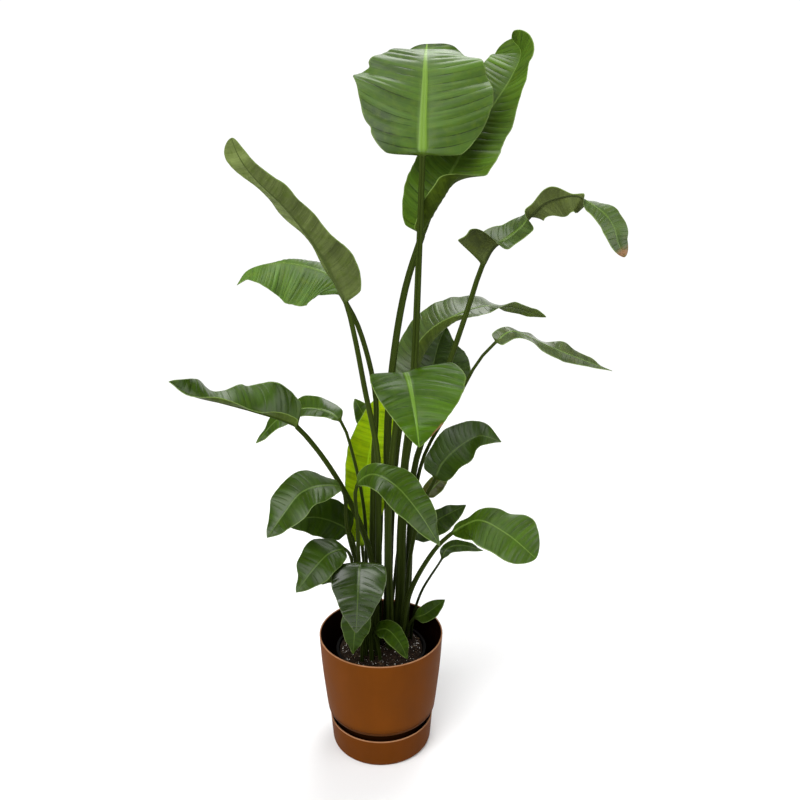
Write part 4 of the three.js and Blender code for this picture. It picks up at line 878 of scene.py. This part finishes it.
def leafWidths(leaf, look, u, k, along, random):
    # width: how wide each half is; wide: how far from the midrib a column lies; t = wide / width
    # s: the length at which its side vein leaves the midrib
    least = np.maximum(leaf["neck"] * (1 - u / 0.1), blade["tipHalfWidth"])[:, None]
    width = np.maximum(halfWidths(leaf, u)[:, None] * perSide(leaf, "wide", u, k), least)
    ribHalf = leaf["neck"] * look["ribWidth"] * (1 - 0.93 * u) ** 0.9 + 0.25
    ribHalf = np.minimum(ribHalf[:, None], 0.9 * np.minimum(width[:, :1], width[:, -1:]))
    joined = smoothStep(0, blade["joinLength"], along)[:, None]
    band = blade["ribBand"]
    outer = np.clip((np.abs(k) - band) / (1 - band), 0, 1)
    outer = 1 - (1 - outer) ** 1.35
    wide = (width - ribHalf) * outer + ribHalf * np.minimum(np.abs(k) / band, 1)
    t = wide / width
    for place, side, depth, length in look["nicks"]:
        dent = depth * np.exp(-((u - place) / length)[:, None] ** 2)
        wide = wide * (1 - dent * (np.sign(k) == side) * t ** 2)
    # the side veins bend towards the tip on their way out
    s = along[:, None] - 0.3 * wide * t * joined * (1 - 0.6 * u)[:, None]
    frill = wanderPerSide(random, s, k, 34)
    frill = frill + 0.5 * wanderPerSide(random, s, k, 13)
    wide = wide * (1 + 0.008 * frill * t ** 3)
    return width, wide, t, s, ribHalf, joined


def leafRelief(leaf, look, s, t, k, width, random):
    # pleats: |sin| ridges along the side veins whose spacing wanders, with wider puckers under them
    size = min(1, leaf["half"] / 60) ** 0.5
    pitch = look["pitch"] * (0.55 + 0.45 * size)
    pleatTurn = np.pi * s / pitch + 0.9 * wanderPerSide(random, s, k, 55) + 0.5 * t
    pleats = np.abs(np.sin(pleatTurn)) - 0.6
    strength = wanderPerSide(random, s, k, 40) * 0.35 + 0.9
    puckers = wanderPerSide(random, s, k, 42)
    rise = smoothStep(0.05, 0.35, t) * (1 - 0.55 * smoothStep(0.8, 1, t))
    ends = np.minimum(1, width / (0.5 * leaf["half"]))
    relief = look["pleat"] * size * pleats * strength * rise + look["pucker"] * size * puckers * t ** 1.5
    return relief * ends, pleatTurn, rise


def patchMask(u, t, k, spot, endSoft, innerSoft):
    # 1 between start and end along the blade and past inner across one side, eased at its bounds
    start, end, side, inner = spot[:4]
    lengthwise = smoothStep(start - endSoft[0], start + endSoft[1], u)
    lengthwise = lengthwise * smoothStep(end + endSoft[0], end - endSoft[1], u)
    onSide = (np.sign(k) == side) | (side == 0)
    return lengthwise[:, None] * smoothStep(inner - innerSoft[0], inner + innerSoft[1], t) * onSide


def leafSurface(leaf, look, columns, rowStep, stalkRows, random):
    # every row is a closed ring: upper points left to right, then lower points back
    centre, way, u, free, along = leafLine(leaf, rowStep, stalkRows)
    face = eased(leaf["face"], u)
    up = unit(face - (face * way).sum(1, keepdims=True) * way)
    side = np.cross(way, up)
    k = np.linspace(-1, 1, columns)[None, :]  # columns: -1 left margin to 1 right margin
    sign = np.sign(k)
    width, wide, t, s, ribHalf, joined = leafWidths(leaf, look, u, k, along, random)

    # each half leaves the midrib at the fold angle and bends by the curl angle
    fold = np.radians(perSide(leaf, "fold", u, k))
    curl = np.radians(perSide(leaf, "curl", u, k))
    curl = np.where(np.abs(curl) < 0.001, 0.001, curl)
    reach = width / curl * (wide / (t * width + 1e-9))
    across = reach * (np.sin(fold + curl * t) - np.sin(fold))
    lift = reach * (np.cos(fold) - np.cos(fold + curl * t))
    nearBase = np.clip(1 - u / leaf["widest"], 0, 1)[:, None]
    back = -leaf["lobe"] * width * nearBase ** 2 * t ** 1.5
    sweep = 0.25 * width * t * (1 - u[:, None]) * np.minimum(1, u / leaf["widest"])[:, None]
    forward = width * t * (eased(leaf["reach"], u)[:, None] + sign * eased(leaf["skew"], u)[:, None])
    turn = 2 * np.pi * leaf["waves"] * u[:, None] + 1.3 * (k >= 0)
    ripple = leaf["wave"] * t * t * np.sin(turn) * np.minimum(1, width / (0.35 * leaf["half"]))
    relief, pleatTurn, rise = leafRelief(leaf, look, s, t, k, width, random)
    angle = (fold + curl * t) * smoothStep(0, 1, wide / ribHalf)
    normal = up[:, None] * np.cos(angle)[..., None] - side[:, None] * (sign * np.sin(angle))[..., None]
    middle = centre[:, None] + side[:, None] * (sign * across)[..., None] + up[:, None] * lift[..., None]
    middle = middle + way[:, None] * (back + sweep + forward)[..., None]
    middle = middle + normal * (ripple + relief)[..., None]

    # thickness: thin at the margin, a half-round keel under the rib and a low crown over it
    onRib = np.clip(1 - (wide / ribHalf) ** 2, 0, 1) ** 0.5
    keel = (leaf["neck"] * 1.1 * (1 - u) ** 1.3)[:, None]
    body = blade["thickness"] / 2 * np.minimum(1, np.clip(1 - t, 0, 1) * 40) ** 0.5
    crown = 0.16 * ribHalf * onRib - 0.35 * np.exp(-((wide / ribHalf - 1.1) / 0.25) ** 2)
    bladeTop = middle + normal * (body + np.where(t < 0.9, crown, 0))[..., None]
    bladeLow = middle - normal * (body + keel * onRib)[..., None]

    # the stalk is round, with a groove along its upper side
    radius = (leaf["neck"] + (leaf["girth"] - leaf["neck"]) * (1 - free) ** 1.3)[:, None]
    flat = radius * np.sin(np.pi * k / 2)
    high = radius * np.cos(np.pi * k / 2)
    groove = 1 - 0.55 * np.exp(-(np.sin(np.pi * k / 2) / 0.42) ** 2)
    stalkTop = centre[:, None] + side[:, None] * flat[..., None] + up[:, None] * (high * groove)[..., None]
    stalkLow = centre[:, None] + side[:, None] * flat[..., None] - up[:, None] * high[..., None]

    blend = joined[..., None]
    top = stalkTop * (1 - blend) + bladeTop * blend
    low = stalkLow * (1 - blend) + bladeLow * blend
    top[:, [0, -1]] = (top[:, [0, -1]] + low[:, [0, -1]]) / 2
    rings = np.concatenate([top, low[:, -2:0:-1]], axis=1)

    def ringed(upperValues, lowerValues=None):
        # one value per point of each ring, the same below as above unless they are given
        lowerValues = upperValues if lowerValues is None else lowerValues
        upperValues, lowerValues = upperValues + 0 * t, lowerValues + 0 * t
        return np.concatenate([upperValues, lowerValues[:, -2:0:-1]], axis=1)

    dry, paintedShade = 0 * t, 0 * t
    for spot in look["dry"]:
        dry = np.maximum(dry, patchMask(u, t, k, spot, (0.02, 0.01), (0.06, 0.02)))
    # dusk: painted shade over the listed parts of the blade
    for spot in look["paintedShade"]:
        paintedShade = np.maximum(paintedShade, spot[4] * patchMask(u, t, k, spot, (0.06, 0.04), (0.25, 0.25)))
    masks = {
        "upper": ringed(np.where(np.abs(k) == 1, 0.5, 1.0), 0.0),
        "rib": ringed(smoothStep(1.25, 0.8, wide / ribHalf) * joined),
        "margin": ringed(smoothStep(1.7, 0.7, (1 - t) * width) * smoothStep(0.55, 0.8, t) * joined),
        "stalk": ringed(1 - joined),
        "pleat": ringed(pleatTurn),
        "pleated": ringed(rise * joined),
        "dry": ringed(dry),
        "paintedShade": ringed(paintedShade),
    }
    places = np.stack([ringed(sign * wide * joined + (1 - joined) * flat), ringed(s)], -1) * mm
    return rings, masks, places, u


def leafMaterial(name, look, specular):
    # green upper face, paler under face, fine veins across, a light rib and a darker stalk
    material, tree, shader = newMaterial(name)

    def mask(title):
        return addNode(tree, "Attribute", attribute_name=title).outputs["Fac"]

    place = addNode(tree, "UVMap", uv_map="leafMap").outputs["UV"]

    def veins(title, detail):
        # noise drawn out along the side veins, or along the leaf
        scaled = addNode(tree, "VectorMath", {0: place, 1: veinScales[title]}, operation="MULTIPLY")
        made = addNode(tree, "TexNoise", {"Vector": scaled.outputs[0], "Scale": 1.0, "Detail": detail},
                       noise_dimensions="2D")
        return made.outputs["Fac"]

    fine, bands, broad = veins("fine", 2.0), veins("bands", 2.0), veins("broad", 1.0)
    length = veins("length", 2.0)
    patches, mottle = objectNoise(tree, 9, 3), objectNoise(tree, 90, 2)
    upper, stalk = mask("upper"), mask("stalk")
    # creases lie where the sine of the pleats passes zero: painted shade in them above, paler veins below
    valley = maths(tree, "ABSOLUTE", maths(tree, "SINE", mask("pleat")))
    crease = product(tree, spread(tree, valley, 0.22, 0.02), mask("pleated"),
                     spread(tree, veins("fade", 1.0), 0.36, 0.6, 0.15, 1.0))
    creaseShadeAndPaleVeins = product(tree, crease, spread(tree, upper, 0, 1, 0.25, -look["crease"]))
    # shade: random variation from the noises, times painted shade in the creases and at the dusk places
    shade = product(tree, fromNoise(tree, fine, 0.92, 1.08), fromNoise(tree, bands, 0.82, 1.16),
                    fromNoise(tree, broad, 0.78, 1.2), total(tree, 1.0, creaseShadeAndPaleVeins),
                    spread(tree, mask("paintedShade"), 0, 1, 1.0, 0.25), fromNoise(tree, patches, 0.76, 1.18))
    colour = shaded(tree, mixColour(tree, upper, look["under"], look["upper"]), shade)
    warm = tuple(c * k for c, k in zip(look["upper"], (1.5, 1.15, 0.6)))
    colour = mixColour(tree, spread(tree, mottle, 0.45, 0.8, 0, 0.5), colour, warm)
    ribColour = mixColour(tree, upper, tuple(0.4 * c for c in look["under"]), look["ribColour"])
    ribColour = mixColour(tree, spread(tree, length, 0.35, 0.7, 0.0, 0.35), ribColour, look["upper"])
    colour = mixColour(tree, mask("rib"), colour, ribColour)
    colour = mixColour(tree, product(tree, mask("margin"), 0.8), colour, look["marginColour"])
    # the stalk is darker low down, in the shade of the clump
    stalkColour = mixColour(tree, spread(tree, length, 0.3, 0.75), look["stalkColour"],
                            tuple(1.7 * c for c in look["stalkColour"]))
    height = addNode(tree, "SeparateXYZ", {0: addNode(tree, "TexCoord").outputs["Object"]}).outputs["Z"]
    stalkColour = shaded(tree, stalkColour, spread(tree, height, 0.22, 0.62, 0.42, 1.0))
    colour = mixColour(tree, stalk, colour, stalkColour)
    dry = product(tree, mask("dry"), spread(tree, mottle, 0.3, 0.5))
    colour = mixColour(tree, dry, colour, look["dryColour"])
    tree.links.new(colour, shader.inputs["Base Color"])
    roughness = total(tree, fromNoise(tree, patches, look["roughness"] - 0.05, look["roughness"] + 0.07),
                      product(tree, maths(tree, "SUBTRACT", 1.0, upper), 0.14))
    tree.links.new(roughness, shader.inputs["Roughness"])
    relief = total(tree, product(tree, fine, 0.15), bands, product(tree, broad, 1.5),
                   product(tree, crease, -1.2))
    relief = total(tree, product(tree, relief, maths(tree, "SUBTRACT", 1.0, stalk)),
                   product(tree, length, 0.8, stalk))
    setBump(tree, shader, relief, 0.55, 0.0007)
    shader.inputs["Specular IOR Level"].default_value = specular
    shader.inputs["Subsurface Weight"].default_value = look["glow"]
    shader.inputs["Subsurface Radius"].default_value = (0.9, 1.4, 0.25)
    shader.inputs["Subsurface Scale"].default_value = 0.0012
    return material


for number, (name, shape) in enumerate(leaves.items()):
    leaf = {**leafDefaults, **shape}
    look = {**lookDefaults, **leafLooks.get(name, {})}
    # tone scales the colours down as painted shade
    for part in ("upper", "under", "ribColour", "marginColour"):
        look[part] = tuple(look["shadeFactor"] * c for c in look[part])
    columns, rowStep, stalkRows = next(grid for least, *grid in leafGrids if leaf["half"] >= least)
    rings, masks, places, shares = leafSurface(leaf, look, columns, rowStep, stalkRows,
                                               np.random.default_rng(100 + number))
    rowCount, ringCount = rings.shape[:2]
    points = np.vstack([rings.reshape(-1, 3), rings[0].mean(0), rings[-1].mean(0)])
    points = np.clip(points, np.array(cadBox[0]) / mm, np.array(cadBox[1]) / mm)  # a hair over, at most
    piece = meshPiece(name + "_grown", points, *tubeFaces(rowCount, ringCount))
    for title, values in masks.items():
        addMask(piece, title, np.append(values.ravel(), [values[0].mean(), values[-1].mean()]))
    addMap(piece, "leafMap", np.vstack([places.reshape(-1, 2), places[0].mean(0), places[-1].mean(0)]))
    piece.data.materials.append(leafMaterial(name + "_green", look, look["specular"]))
    piece.data.materials.append(leafMaterial(name + "_matte", look, look["matteSpecular"]))
    # matte: the stalk, the under face and the far end of some leaves
    matte = (masks["stalk"][:-1] > 0.5) | (np.arange(ringCount) >= columns - 1)
    matte = matte | (shares[:-1, None] > look["matteFrom"])
    matte = np.concatenate([matte.ravel(), np.ones(len(piece.data.polygons) - matte.size, bool)])
    piece.data.polygons.foreach_set("material_index", matte.astype(np.int32))
    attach(piece, "root")
    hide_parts(name)
print("leaves grown:", len(leaves))


# the floor in millimetres; lamp and camera in metres, watts and degrees, lens in millimetres
# patches of light in the sky: direction, cosines at the edge and at the full core, strength
studio = {
    "floorRadius": 2600, "floorColour": (0.92, 0.92, 0.92), "floorSides": 64, "floorDrop": 0.4,
    "backdrop": 1.05, "room": 0.08,
    "patches": [[(-0.42, -0.68, 0.59), 0.84, 0.95, 5.2], [(-0.75, -0.62, 0.2), 0.88, 0.97, 2.5],
                [(0.85, -0.45, 0.3), 0.86, 0.97, 2.8], [(0.05, -0.1, 1.0), 0.90, 0.98, 1.2],
                [(0.35, 0.85, 0.35), 0.84, 0.97, 1.6]],
    "topPower": 34, "topSize": 1.2, "topPlace": (0.3, 0.9, 2.9), "topTarget": (0, 0, 0.8),
    "lens": 36, "sensor": 36, "cameraPlace": (0.0378, -1.406, 1.129), "cameraTilt": 16.2,
}
sides = studio["floorSides"]
a = np.linspace(0, 2 * np.pi, sides, endpoint=False)
rim = np.stack([np.cos(a), np.sin(a), 0 * a], -1) * studio["floorRadius"]
fan = np.stack([np.full(sides, sides), np.arange(sides), (np.arange(sides) + 1) % sides], -1)
floorPoints = np.vstack([rim, [[0, 0, 0]]]) - [0, 0, studio["floorDrop"]]
floor = meshPiece("studio_floor", floorPoints, np.zeros((0, 4), int), fan)
floorMaterial, floorTree, floorShader = newMaterial("pale_floor")
floorColour = mixColour(floorTree, fromNoise(floorTree, objectNoise(floorTree, 0.6, 2)),
                        studio["floorColour"], tuple(0.98 * c for c in studio["floorColour"]))
floorTree.links.new(floorColour, floorShader.inputs["Base Color"])
floorShader.inputs["Roughness"].default_value = 0.9
floorShader.inputs["Specular IOR Level"].default_value = 0.0
floor.data.materials.append(floorMaterial)

# a white backdrop; soft patches of light at the front left, right, above and behind, in a dim room
scene = bpy.context.scene
world = bpy.data.worlds.new("soft_studio")
world.use_nodes = True
sky = world.node_tree
background = sky.nodes["Background"]
way = addNode(sky, "TexCoord").outputs["Generated"]
glow = studio["room"]
for patchWay, edge, core, power in studio["patches"]:
    nearness = addNode(sky, "VectorMath", {0: way, 1: tuple(unit(np.array(patchWay)))},
                       operation="DOT_PRODUCT").outputs["Value"]
    patch = addNode(sky, "MapRange", {"Value": nearness, "From Min": edge, "From Max": core,
                                      "To Min": 0.0, "To Max": power},
                    interpolation_type="SMOOTHSTEP").outputs["Result"]
    glow = maths(sky, "ADD", patch, glow)
seen = addNode(sky, "LightPath").outputs["Is Camera Ray"]
strength = total(sky, product(sky, maths(sky, "SUBTRACT", 1.0, seen), glow),
                 product(sky, seen, studio["backdrop"]))
background.inputs["Color"].default_value = (1, 1, 1, 1)
sky.links.new(strength, background.inputs["Strength"])
scene.world = world
scene.view_settings.view_transform = "Standard"

lamp = bpy.data.lights.new("top_softbox", "AREA")
lamp.energy = studio["topPower"]
lamp.shape = "DISK"
lamp.size = studio["topSize"]
light = bpy.data.objects.new("top_softbox", lamp)
light.location = studio["topPlace"]
aim = Vector(studio["topTarget"]) - Vector(studio["topPlace"])
light.rotation_euler = aim.to_track_quat("-Z", "Y").to_euler()
scene.collection.objects.link(light)

lens = bpy.data.cameras.new("photo_camera")
lens.lens = studio["lens"]
lens.sensor_width = studio["sensor"]
camera = bpy.data.objects.new("photo_camera", lens)
camera.location = studio["cameraPlace"]
camera.rotation_euler = (np.radians(90 - studio["cameraTilt"]), 0, 0)
scene.collection.objects.link(camera)
scene.camera = camera
print("stage set")
